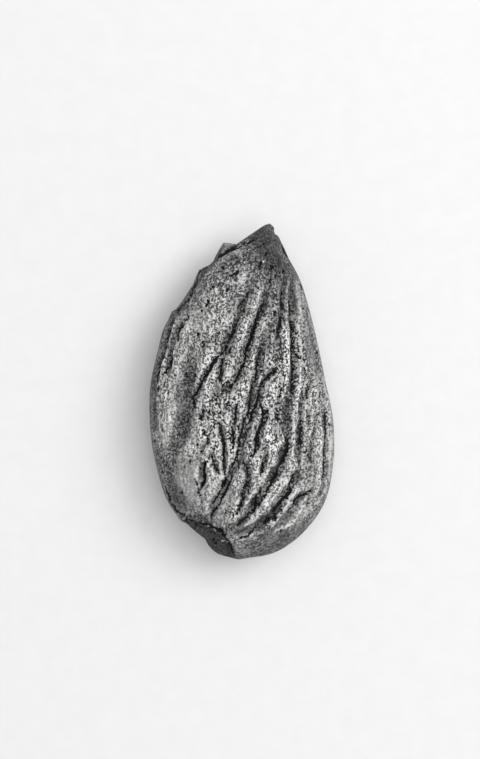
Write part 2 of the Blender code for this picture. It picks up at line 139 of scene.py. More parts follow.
# Cracks of the back, in the furrows and between them: the routes of each half width. Then its pits: place and
# radius.
CRACKS = {
    0.028: (
        ((0.46, 5.42), (0.28, 5.10), (0.10, 4.88), (-0.10, 4.60), (-0.18, 4.30), (-0.12, 3.98)),
        ((-0.08, 3.70), (-0.20, 3.45), (-0.35, 3.20)),
        ((0.24, 4.38), (0.14, 4.30), (0.06, 4.22)),
        ((-1.11, -5.40), (-1.25, -5.65), (-1.45, -5.98), (-1.60, -6.30)),
        ((-0.30, -1.83), (-0.12, -2.00), (-0.03, -2.19)),
        ((-0.62, -2.24), (-0.57, -2.55), (-0.51, -2.82)),
        ((-1.43, -2.87), (-1.40, -3.05), (-1.36, -3.23)),
        ((-0.82, -0.89), (-0.75, -0.75), (-0.69, -0.64)),
        ((2.32, -2.19), (2.38, -2.35), (2.46, -2.50)),
        ((3.68, -1.10), (3.70, -1.45), (3.68, -1.80)),
        ((4.13, -1.00), (4.20, -1.20), (4.26, -1.38)),
        ((4.20, -1.62), (4.32, -1.64), (4.45, -1.70)),
        ((4.22, -1.85), (4.35, -1.88), (4.48, -1.95)),
        ((4.75, -1.70), (4.84, -1.84), (4.93, -1.97)),
        ((3.05, 2.15), (3.10, 1.95), (3.25, 1.82), (3.40, 1.75), (3.54, 1.52)),
        ((3.45, 1.20), (3.48, 1.05), (3.54, 0.89)),
        ((2.95, 5.50), (2.97, 5.38), (2.93, 5.26)),
        ((-2.95, 1.79), (-2.92, 1.62), (-2.88, 1.48)),
        ((-2.34, 3.03), (-2.18, 3.00), (-2.03, 2.85)),
        ((0.80, 5.66), (0.88, 5.60), (0.98, 5.58)),
        ((-2.12, -3.18), (-2.14, -3.27), (-2.18, -3.36)),
        ((-2.30, -2.87), (-2.36, -2.98), (-2.43, -3.09)),
        ((-2.50, -3.40), (-2.66, -3.46), (-2.80, -3.60)),
        ((-4.35, -3.59), (-4.21, -3.90), (-4.03, -4.13)),
        ((-4.32, -4.35), (-4.28, -4.48), (-4.23, -4.60)),
        ((-0.82, -6.38), (-0.83, -6.53), (-0.82, -6.68)),
        ((0.85, -7.52), (0.60, -7.70), (0.42, -7.84), (0.10, -7.98), (-0.39, -8.11)),
        ((2.19, -6.25), (2.21, -6.50), (2.19, -6.80)),
    ),
    0.030: (
        ((0.75, 7.70), (1.20, 7.95), (1.45, 8.20)),
    ),
    0.044: (
        ((1.34, 4.95), (1.18, 4.47), (1.00, 4.16), (0.87, 3.91)),
        ((-0.53, 0.62), (-0.80, 0.40), (-0.96, 0.26), (-1.16, 0.08)),
        ((-0.15, 3.86), (-0.30, 3.60), (-0.46, 3.19), (-0.62, 2.92), (-0.75, 2.60), (-0.89, 2.29),
         (-0.96, 2.15)),
        ((-1.02, 1.75), (-1.07, 1.48), (-1.11, 1.12), (-1.13, 0.70), (-1.10, 0.30)),
        ((1.09, 2.02), (0.96, 1.61), (0.91, 1.21), (0.87, 0.67), (0.69, 0.40), (0.60, 0.04), (0.55, -0.32),
         (0.46, -0.75), (0.42, -1.20), (0.24, -1.60), (0.15, -1.88), (0.03, -2.33), (-0.06, -2.64),
         (-0.12, -3.09), (-0.21, -3.45), (-0.35, -3.90), (-0.57, -4.35)),
        ((-0.50, -4.72), (-0.62, -4.96), (-0.80, -5.40), (-0.89, -5.55), (-1.02, -5.82), (-1.16, -6.13),
         (-1.25, -6.27), (-1.45, -6.50), (-1.56, -6.67), (-1.72, -6.98)),
        ((0.24, -2.10), (0.27, -2.40), (0.26, -2.69), (0.10, -2.96)),
        ((-0.17, -0.57), (-0.24, -0.98), (-0.30, -1.43), (-0.30, -1.83)),
        ((-0.44, -2.10), (-0.42, -2.46), (-0.42, -2.82), (-0.42, -3.18)),
        ((-1.23, -1.74), (-1.20, -1.92), (-1.09, -2.42), (-0.98, -2.73), (-0.96, -3.45), (-0.96, -4.17),
         (-0.90, -4.60)),
        ((-1.76, -3.63), (-1.65, -3.54), (-1.52, -4.04), (-1.34, -4.35), (-1.16, -4.58)),
        ((0.03, -3.86), (0.19, -3.95), (0.33, -4.22), (0.39, -4.58), (0.37, -4.78)),
        ((0.10, -5.45), (0.03, -5.68), (0.10, -5.95), (0.01, -6.13), (-0.12, -6.50), (-0.21, -6.76)),
        ((0.33, -5.10), (0.40, -5.30), (0.42, -5.45)),
        ((1.65, -5.17), (1.45, -5.50), (1.41, -5.64), (1.09, -6.09), (1.00, -6.27), (0.82, -6.31)),
        ((1.23, -5.32), (1.12, -5.55), (1.00, -5.73)),
        ((0.55, -6.72), (0.33, -6.94), (0.10, -7.08), (-0.03, -7.21), (-0.21, -7.39)),
        ((1.92, -1.20), (2.03, -1.60), (2.14, -1.83)),
        ((2.14, 0.17), (2.15, -0.08), (2.14, -0.32)),
        ((3.40, -1.65), (3.38, -2.10), (3.33, -2.55), (3.29, -3.18)),
        ((4.66, -1.20), (4.71, -2.10), (4.66, -3.20), (4.60, -4.35), (4.48, -5.10)),
        ((2.77, 4.97), (2.86, 4.60), (2.91, 3.95)),
        ((2.34, 5.50), (2.32, 5.15), (2.31, 4.80), (2.32, 4.43)),
        ((3.09, 3.25), (3.10, 3.15), (3.09, 3.03)),
        ((3.45, 0.66), (3.55, 0.67), (3.66, 0.66)),
        ((4.46, -0.02), (4.47, -0.20), (4.46, -0.40)),
        ((2.25, 7.80), (2.34, 7.62), (2.50, 7.30), (2.64, 7.08)),
        ((3.24, 5.73), (3.31, 5.50), (3.36, 5.24)),
        ((-3.60, 3.90), (-3.85, 3.45), (-4.05, 3.00), (-4.10, 2.60), (-4.25, 2.10), (-4.40, 1.50),
         (-4.53, 1.12), (-4.63, 0.80), (-4.66, 0.30)),
        ((-3.56, 3.14), (-3.47, 2.92), (-3.42, 2.72)),
        ((-3.65, 2.62), (-3.72, 2.35), (-3.81, 2.06)),
        ((-3.95, 1.28), (-4.10, 1.20), (-4.19, 0.98), (-4.12, 0.74)),
        ((-4.32, 0.40), (-4.46, 0.17), (-4.57, -0.26)),
        ((-3.04, 1.07), (-3.05, 0.95), (-3.06, 0.80)),
        ((-1.60, 6.99), (-1.85, 6.68), (-2.07, 6.50), (-2.25, 6.40), (-2.34, 6.14), (-2.41, 5.87),
         (-2.55, 5.60), (-2.66, 5.42), (-2.75, 5.17), (-2.93, 4.88), (-3.29, 4.52), (-3.42, 4.34),
         (-3.52, 4.06)),
        ((-1.72, 6.80), (-1.58, 6.95), (-1.43, 7.08)),
        ((-1.95, 5.30), (-1.67, 5.50), (-1.45, 5.68), (-1.10, 5.80)),
        ((-0.85, 6.18), (-0.60, 6.25), (-0.39, 6.32), (-0.17, 6.43)),
        ((1.09, 7.02), (1.06, 6.82), (1.05, 6.60)),
        ((-4.12, -5.15), (-4.08, -5.37), (-3.96, -5.68), (-3.83, -6.04), (-3.56, -6.40), (-3.33, -6.65),
         (-3.06, -6.76)),
        ((-2.20, -5.32), (-2.30, -5.50), (-2.23, -5.82)),
        ((-2.52, -4.83), (-2.39, -5.05), (-2.34, -5.37)),
        ((-2.27, -4.20), (-2.28, -4.35), (-2.25, -4.49)),
        ((-2.21, -1.20), (-2.08, -1.14), (-1.94, -1.11)),
        ((-2.18, -1.30), (-2.20, -1.45), (-2.18, -1.60)),
        ((-2.03, -2.10), (-1.98, -2.37), (-1.85, -2.46), (-1.82, -2.82), (-1.91, -2.96)),
        ((2.77, -6.40), (2.70, -6.50), (2.66, -6.60)),
    ),
    0.066: (
        ((0.87, 3.91), (0.82, 3.55), (0.64, 3.10), (0.55, 2.74), (0.39, 2.47), (0.28, 2.06), (0.24, 1.61),
         (0.06, 1.30), (-0.12, 0.98), (-0.24, 0.67), (-0.39, 0.44), (-0.57, 0.26), (-0.75, 0.13)),
        ((-0.96, 2.15), (-1.25, 1.84), (-1.47, 1.66), (-1.65, 1.43), (-1.80, 1.07), (-2.12, 0.62),
         (-2.30, 0.22), (-2.48, -0.05), (-2.70, -0.39), (-2.66, -0.66), (-2.57, -0.98)),
        ((-0.87, -4.80), (-0.90, -4.95), (-1.02, -5.23), (-1.11, -5.40)),
        ((1.94, 1.12), (1.69, 0.92), (1.54, 0.76), (1.27, 0.53), (1.14, 0.26), (1.05, -0.05), (1.00, -0.39),
         (0.87, -0.75), (0.69, -1.07), (0.51, -1.61), (0.46, -1.79)),
        ((1.09, -0.75), (1.23, -1.20), (1.25, -1.47), (1.18, -1.79), (1.00, -2.24), (0.87, -2.55),
         (0.85, -3.00), (0.75, -3.45), (0.55, -3.60)),
        ((0.37, -4.78), (0.33, -5.10), (0.19, -5.28), (0.10, -5.45)),
        ((1.23, -3.99), (1.18, -4.35), (1.14, -4.58)),
        ((2.57, -2.46), (2.57, -2.82), (2.57, -3.23), (2.48, -3.54), (2.32, -3.90), (2.16, -4.17),
         (2.00, -4.58), (1.78, -4.92), (1.65, -5.17)),
        ((1.00, -5.73), (0.87, -5.86), (0.82, -6.09), (0.75, -6.54), (0.55, -6.72)),
        ((2.91, 3.95), (2.91, 3.73), (2.95, 3.30), (2.91, 3.05), (2.95, 2.65), (2.91, 2.38), (2.88, 2.10),
         (2.95, 1.48), (2.95, 0.67), (2.91, 0.17), (2.86, -0.19)),
        ((2.27, 4.06), (2.23, 3.77), (2.14, 3.41), (2.05, 3.19)),
        ((3.67, 0.17), (3.69, -0.10), (3.70, -0.37)),
        ((-2.90, 4.00), (-3.20, 3.59), (-3.42, 3.48), (-3.56, 3.14)),
        ((-3.81, 2.06), (-3.85, 1.84), (-3.90, 1.48), (-3.95, 1.28)),
        ((-1.43, 7.08), (-1.11, 7.31), (-0.91, 7.44), (-0.62, 7.62), (-0.35, 7.76), (-0.12, 7.85),
         (0.15, 8.03)),
        ((-1.76, -3.86), (-2.00, -4.04), (-2.03, -4.35), (-2.05, -4.87), (-2.12, -5.10), (-2.20, -5.32)),
        ((1.75, -7.02), (1.45, -7.12), (1.27, -7.30)),
        ((2.91, -4.62), (2.91, -4.87), (2.72, -5.16), (2.77, -5.41), (2.64, -5.68), (2.41, -5.90),
         (2.19, -6.18), (2.05, -6.40), (1.87, -6.67), (1.90, -6.90), (1.74, -7.08)),
        ((3.20, -4.93), (3.16, -5.02), (3.12, -5.12)),
        ((3.96, -5.48), (3.75, -5.48), (3.54, -5.68), (3.40, -5.77), (3.13, -5.91), (2.95, -6.13),
         (3.09, -6.31)),
    ),
    0.070: (
        ((0.10, 7.86), (0.50, 8.12), (0.86, 8.30)),
    ),
    0.085: (
        ((-2.85, -7.02), (-2.48, -7.17), (-1.98, -7.26), (-1.75, -7.30), (-1.43, -7.48), (-1.20, -7.57),
         (-1.02, -7.75), (-0.89, -7.93), (-0.75, -8.16), (-0.66, -8.34), (-0.55, -8.60), (-0.46, -8.85)),
    ),
}
PITS = (
    (1.45, -1.15, 0.056), (1.45, -1.60, 0.056), (-1.43, -1.92, 0.050), (-0.15, -4.04, 0.043),
    (0.16, -6.13, 0.050), (-0.42, -6.76, 0.056), (-1.38, -0.48, 0.050), (-1.11, -1.20, 0.050),
    (2.32, -1.34, 0.056), (2.14, -1.02, 0.050), (2.59, -0.98, 0.050), (3.24, -3.90, 0.056),
    (3.52, -3.30, 0.056), (3.70, -3.50, 0.050), (4.03, -0.60, 0.043), (3.85, -2.80, 0.050),
    (3.92, -3.20, 0.050), (3.82, -3.60, 0.056), (3.90, -3.90, 0.043), (0.69, -5.95, 0.062),
    (1.60, 5.90, 0.062), (2.68, 5.46, 0.050), (1.85, 4.18, 0.074), (1.87, 5.15, 0.056), (2.18, 4.74, 0.050),
    (3.36, 4.43, 0.056), (2.95, 4.34, 0.043), (2.30, 6.45, 0.087), (2.10, 6.36, 0.062), (1.69, 6.68, 0.087),
    (1.83, 6.14, 0.056), (1.87, 3.23, 0.068), (3.15, 2.90, 0.050), (3.20, 2.15, 0.050), (3.30, 1.78, 0.062),
    (4.19, 2.06, 0.056), (4.28, 1.48, 0.043), (4.39, 0.40, 0.043), (-3.56, 3.12, 0.074), (-3.96, 2.22, 0.050),
    (-3.93, -0.12, 0.056), (-3.60, 0.80, 0.043), (-2.52, 0.85, 0.050), (-2.34, 3.03, 0.062),
    (-2.07, 2.65, 0.062), (-2.03, 2.45, 0.056), (-1.87, 4.67, 0.081), (-1.76, 4.81, 0.056),
    (-2.16, 4.38, 0.056), (-3.17, 4.43, 0.062), (-2.88, 4.04, 0.062), (-1.02, 6.66, 0.068),
    (-0.17, 6.43, 0.062), (-0.75, 5.44, 0.062), (0.10, 7.22, 0.074), (1.36, 7.38, 0.074), (0.15, 8.05, 0.074),
    (-3.29, -5.60, 0.056), (-2.57, -7.46, 0.062), (-1.56, -8.20, 0.062), (-1.43, -8.42, 0.056),
    (3.65, -6.15, 0.062), (3.74, -6.81, 0.056), (3.15, -6.92, 0.050), (2.16, -7.58, 0.050),
    (2.41, -8.18, 0.050), (3.97, -6.50, 0.056), (4.24, -4.80, 0.050), (-1.69, -1.11, 0.043),
    (-2.75, -3.86, 0.050), (-3.06, -4.13, 0.050), (-3.18, -1.43, 0.043), (-2.88, -1.90, 0.050),
    (-4.66, -1.02, 0.056), (-4.57, -2.03, 0.050), (-4.68, -2.73, 0.050), (-4.19, -0.57, 0.050),
    (-4.21, -2.12, 0.043), (1.18, 1.07, 0.050), (1.45, 0.85, 0.043), (-0.80, 1.43, 0.050),
    (-0.64, 2.20, 0.043), (-1.54, 2.92, 0.050), (-2.95, -6.98, 0.074),
)
END_RISE = 4.5  # each end of a furrow narrows and rises over this many of its half widths
CRACK_DEPTH = 1.8  # depth of a crack, in its half widths
CRACK_VALLEY = (3.6, 0.45)  # width and depth of the valley that a crack lies in, as shares of the crack's own
CRACK_POINTED = 0.30  # length over which each end of a crack narrows
CRACK_LEAST = 0.045  # no crack is carved narrower than this, however thin its dark line
CRACK_BLUR = 0.12  # distance over which a crack's mask goes from its edge to full
PIT_SHAPE = np.array([[1.28, 0.18], [-0.30, 0.62]])  # takes an offset from a long pit's middle to a round one
LEAST_FACING_UP = 0.55  # on steeper skin than this, the dark line of a crack gets no narrower in plan
CRACK_END = 0.4  # width of a crack at its ends, as a share of its full width
CRACK_WANDER = 0.042  # how far the cracks wander off their routes, and over what length
CRACK_WANDER_SIZE = 0.17
VALLEY_DEPTH = 0.2  # from this depth on, a furrow has a valley's full dark floor and pale shoulders
FLOOR_WIDTH = 0.9  # width of that floor, in half widths of the furrow
SHOULDER_AWAY = 1.30  # a pale line runs along a valley's shoulders, this many half widths off its middle
SHOULDER_WIDTH = 0.32
CREST_SHARE = 0.28  # height of the ridge beside a furrow, as a share of the furrow's depth
CREST_AWAY = 2.1  # how far from the furrow the ridge runs, and how wide it is, in half widths of the furrow
CREST_WIDTH = 1.0
RIDGE_ENDS = 0.08  # a furrow of this depth cuts through the ridges beside other furrows
RIDGE_FULL = 0.06  # height of a ridge that counts as a full one in the coat's finish
ROUTE_REACH = 4.5  # nothing of a furrow is felt further from it than this many half widths
ROUTE_STEPS = 5  # straight steps between two points of a route

# Lines that the coat's wrinkles run along on the back: the place across the kernel that each one stands for,
# and its route.
FLOW = (
    (-4.6, ((-3.00, 5.00), (-3.55, 4.20), (-4.25, 2.00), (-4.72, -0.60), (-4.66, -2.60), (-4.10, -5.00),
            (-3.30, -6.30))),
    (-3.3, ((-2.20, 5.60), (-2.80, 4.00), (-2.90, 2.10), (-3.00, -1.00), (-3.60, -3.70), (-3.30, -5.60),
            (-2.40, -6.80))),
    (-2.2, ((-0.60, 6.60), (-1.20, 4.20), (-1.48, 1.58), (-2.32, 0.25), (-2.60, -1.00), (-2.70, -3.50),
            (-2.30, -5.60), (-2.00, -6.90))),
    (-1.2, ((0.60, 7.00), (-0.15, 4.11), (-0.94, 2.06), (-1.18, 0.37), (-1.50, -1.60), (-1.60, -3.10),
            (-1.50, -4.90), (-1.80, -6.80))),
    (-0.3, ((1.30, 6.80), (1.30, 4.96), (0.45, 2.67), (-0.27, 0.61), (-0.60, -0.80), (-0.95, -3.00),
            (-0.93, -4.70), (-1.75, -6.90))),
    (0.6, ((1.80, 6.80), (1.40, 3.60), (0.93, 1.10), (0.52, -0.83), (0.03, -2.76), (-0.60, -4.57),
           (-1.60, -6.90))),
    (1.6, ((2.20, 6.80), (2.00, 3.20), (1.60, 1.00), (1.20, -1.40), (0.50, -3.70), (0.30, -5.00),
           (-0.25, -6.90))),
    (2.7, ((2.50, 7.20), (2.86, 4.60), (2.97, 1.34), (2.62, -0.83), (2.44, -3.12), (1.42, -5.22),
           (0.21, -6.86), (-0.50, -7.50))),
    (3.6, ((3.10, 6.10), (3.50, 3.00), (3.50, 0.60), (3.30, -2.04), (3.05, -4.70), (2.20, -6.00),
           (1.20, -7.15), (-0.40, -7.90))),
    (4.6, ((3.62, 4.20), (4.25, 1.00), (4.66, -2.20), (4.52, -5.00), (4.00, -6.20), (2.90, -7.50),
           (1.00, -8.40), (-0.60, -8.50))),
)
FLOW_BLEND = 0.05  # within this distance of a line, its own value counts alone

# The face that it lies on has furrows of the same kind, drawn by a rule. Places across it go from -1 to 1.
# Starts, ends and lengths are shares of the way from scar to tip.
BELLY_SEED = 11
BELLY_FURROWS = 13
BELLY_SPREAD = 0.86
BELLY_STARTS = (0.16, 0.32)
BELLY_ENDS = (0.62, 0.84)
BELLY_SLANT = 0.06
BELLY_FORKS = 9
FORK_SPREAD = 0.7
FORK_STARTS = (0.25, 0.60)
FORK_LENGTHS = (0.10, 0.20)
FORK_SLANT = 0.17
BELLY_WANDER = 0.06
BELLY_HALF_WIDTH = (0.15, 0.24)
BELLY_FURROW_DEPTH = (0.12, 0.26)
BELLY_CRACK_SEED = 5
BELLY_CRACK_HALF_WIDTH = (0.03, 0.07)
BELLY_CRACK_LENGTHS = (0.15, 0.45)  # shares of the furrow that a crack runs in
BELLY_CRACK_GAPS = (0.02, 0.15)
REST_SPOT = (0.0, -0.9)  # middle of the spot that it rests on, and half sizes of what is kept clear there
REST_CLEAR = (1.9, 3.0)

# Torn flakes of the edges: -1 for the left edge and 1 for the right, the shares of the way from scar to tip
# where a flake starts, has its corner and ends, and how far the corner stands out.
EDGE_FLAKES = (
    (-1, 0.600, 0.617, 0.622, 0.10),
    (-1, 0.684, 0.715, 0.738, 0.21),
    (-1, 0.752, 0.794, 0.816, 0.47),
    (1, 0.830, 0.862, 0.876, 0.08),
)
FLAKE_HALF_ANGLE = 0.15  # radians round the ring from the edge that a flake reaches
EDGE_STEP = 0.004  # step along the edge that its direction is read over

SCAR_REACH_AT_EDGES = (0.122, 0.145)  # share of the way from scar to tip, at the left and the right edge
SCAR_REACH_ON_FACE = 0.203
SCAR_SINK = 0.20
SCAR_LIP = 0.08
SCAR_CRACK = 0.05
SCAR_EDGE = 0.018  # width of the scar's edge, as a share of the way from scar to tip
SCAR_LIP_AWAY = 1.2  # how far outside that edge the lip runs, in widths of the edge
SCAR_CRACK_AWAY = 0.4  # how far inside it the crack runs, and how wide that is
SCAR_CRACK_WIDTH = 0.45
SCAR_RING = 0.40  # half width of the dark line round the scar's lower half, in widths of the edge
SCAR_STAIN = 0.010  # the dark stain of the scar reaches this share of the way past its edge
SCAR_RIM = 0.12  # the scar sinks less close to the kernel's edge line: within this share of the back's height

PUCKER = 0.055  # uneven shrinkage between the furrows
PUCKER_SIZE = 0.75
PUCKER_STRETCH = 2.6  # the puckers are this much longer along the kernel than across it
WOBBLE = 0.07  # how far the furrows wander off their routes
WOBBLE_SIZE = 0.55
SWELL = 0.45  # how much a furrow's width changes along its run
SWELL_SIZE = 0.8
FACE_BLEND = 0.25  # share of the back's height over which an edge turns into a face
POLE_CALM = 0.12  # share of the way from scar to tip over which the relief dies down towards either end

# Painted shade along the left and the right edge, where the sides turn from the light, at each rib from scar
# to tip.
PAINTED_EDGE_SHADES = (
    (0.9, 0.9), (0.9, 0.9), (0.9, 0.9), (0.8, 0.8), (0.8, 0.6), (0.5, 0.45),
    (0.25, 0.3), (0.2, 0.2), (0.5, 0.2), (0.75, 0.15), (0.95, 0.2), (0.95, 0.3),
    (0.95, 0.4), (0.95, 0.6), (1.0, 0.8), (1.0, 1.0), (1.0, 1.0), (1.0, 1.0),
)
RIM_FULL = 0.28  # radians round the ring that are fully dark, and radians over which that fades
RIM_FALL = 0.34
FLAKE_PALE = 0.12  # a flake that stands out this far is not darkened as the edge is
BARE_RIM = 0.16  # share of the back's height over which the edges are bare
PATCHY_SIZE = 1.3  # how the scurf comes and goes
PATCHY_STRETCH = 1.8
GRAIN_UNDER = 0.42  # how grainy the skin is on the belly, how much more on the back, and what a patch changes
GRAIN_ON_BACK = 0.18
GRAIN_CHANGE = 0.40

# Soft oval patches of the back: middle, half sizes, turn in degrees and strength.
PATCH_OUT = 1.35  # how far out a patch ends, and over what length it fades, in its half sizes
PATCH_FADE = 0.8
SCURF_PATCHES = (
    ((-0.10, 6.10), (0.90, 0.70), 30, 0.80),
    ((-1.30, 4.30), (1.10, 1.30), -20, 1.00),
    ((0.60, 4.40), (0.70, 1.60), -18, 0.80),
    ((1.90, 3.60), (0.80, 1.60), -5, 0.75),
    ((-2.60, 3.30), (0.90, 1.10), -30, 0.70),
    ((-3.30, 1.50), (0.45, 1.60), 0, 0.80),
    ((-1.80, 1.10), (0.60, 1.30), -30, 0.75),
    ((-0.60, 1.20), (0.50, 1.20), -20, 0.90),
    ((0.40, 1.00), (0.45, 1.60), -15, 0.70),
    ((-3.85, -1.00), (0.50, 2.00), 5, 0.85),
    ((-1.40, -0.30), (0.70, 0.60), 30, 0.90),
    ((-2.20, -2.30), (0.70, 1.20), -30, 0.95),
    ((-0.70, -2.00), (0.70, 1.80), 5, 0.95),
    ((1.60, -0.30), (0.60, 1.10), -20, 0.85),
    ((1.80, -2.40), (0.70, 0.90), 0, 0.90),
    ((3.30, -0.60), (0.40, 2.60), 0, 0.85),
    ((2.40, 0.60), (0.40, 1.50), 0, 0.80),
    ((3.90, -3.40), (0.70, 2.20), 0, 0.90),
    ((-1.60, -4.90), (0.60, 1.10), -20, 0.85),
    ((-2.80, -4.90), (0.60, 1.20), -15, 0.85),
    ((0.70, -4.60), (0.50, 1.30), -10, 0.85),
    ((2.10, -5.50), (1.00, 0.60), 45, 0.80),
    ((0.40, -6.00), (0.60, 1.30), -30, 0.80),
    ((3.00, -6.80), (1.20, 0.50), 45, 0.60),
    ((-0.80, -6.60), (0.50, 0.80), -20, 0.70),
)
PALE_PATCHES = (
    ((0.05, 6.12), (0.26, 0.40), -20, 1.00),
    ((-0.05, 5.80), (0.16, 0.22), 0, 0.80),
    ((-1.30, 5.46), (0.45, 0.14), 20, 0.70),
    ((0.75, 4.25), (0.14, 0.30), -10, 0.70),
    ((1.02, 4.85), (0.12, 0.32), -15, 0.60),
    ((2.64, 4.55), (0.08, 0.45), 0, 0.70),
    ((2.60, 5.65), (0.07, 0.30), 10, 0.60),
    ((-2.05, 3.90), (0.50, 0.80), -25, 0.30),
    ((1.60, -2.10), (0.45, 0.25), -30, 0.50),
    ((0.45, -1.40), (0.22, 0.60), 0, 0.40),
    ((-1.30, -3.70), (0.60, 0.35), 0, 0.65),
    ((-2.00, -3.40), (0.35, 0.35), 0, 0.40),
    ((-0.40, -3.70), (0.30, 0.30), 0, 0.60),
    ((-0.45, 0.40), (0.25, 0.40), -20, 0.45),
    ((0.40, -1.20), (0.25, 0.35), -20, 0.50),
    ((-2.00, -5.30), (0.40, 0.40), 0, 0.35),
    ((-1.30, -5.40), (0.35, 0.60), -20, 0.40),
    ((0.45, -5.20), (0.30, 0.30), 0, 0.40),
    ((4.35, -0.60), (0.22, 1.60), 0, 0.40),
    ((3.03, -1.30), (0.09, 1.10), -2, 0.62),
    ((2.86, -2.90), (0.10, 0.70), -9, 0.60),
    ((3.60, -1.50), (0.09, 1.20), -3, 0.62),
    ((3.45, -3.30), (0.10, 0.90), -7, 0.58),
    ((-2.00, -2.00), (0.35, 0.40), 0, 0.35),
    ((4.35, -1.20), (0.20, 0.70), 0, 0.45),
    ((-1.20, -6.00), (0.30, 0.50), -20, 0.35),
    ((1.30, -6.70), (0.40, 0.22), 30, 0.40),
    ((2.00, -6.10), (0.30, 0.30), 0, 0.35),
    ((-1.01, -8.33), (0.11, 0.03), -38, 1.00),
    ((-0.78, -8.42), (0.04, 0.04), 0, 1.00),
)
GRAINY_PATCHES = (
    ((0.80, 0.00), (3.70, 5.00), -8, 1.00),
    ((-4.20, 1.60), (0.60, 2.00), 5, 0.70),
    ((-0.50, 5.60), (2.00, 1.60), 30, 0.40),
    ((1.20, -5.60), (2.20, 1.60), 30, 0.40),
)
SMOOTH_PATCHES = (
    ((-2.90, -5.00), (0.90, 1.50), -15, 0.90),
    ((3.80, 2.20), (0.40, 2.00), 8, 0.60),
    ((-1.20, -6.60), (0.60, 0.80), -20, 0.50),
    ((-0.60, -5.90), (0.35, 0.80), -25, 0.50),
    ((1.60, 0.00), (0.40, 0.60), -20, 0.30),
    ((2.40, -7.60), (1.60, 0.60), 40, 0.60),
    ((0.30, -7.50), (0.70, 0.45), 0, 0.90),
    ((3.25, 4.60), (0.35, 0.90), 8, 0.90),
)
BARE_PATCHES = (
    ((1.55, 8.20), (1.20, 1.20), 0, 0.85),
    ((2.60, 6.60), (0.60, 0.90), 15, 0.50),
    ((1.80, -8.15), (2.60, 0.70), 22, 0.90),
    ((-3.00, 0.20), (0.36, 1.60), 0, 0.15),
    ((-3.30, -1.80), (0.36, 1.40), 8, 0.15),
    ((3.75, 2.20), (0.40, 2.00), 8, 0.45),
    ((-0.60, -5.90), (0.35, 0.90), -25, 0.40),
    ((0.55, 5.70), (0.28, 0.70), -15, 0.60),
)
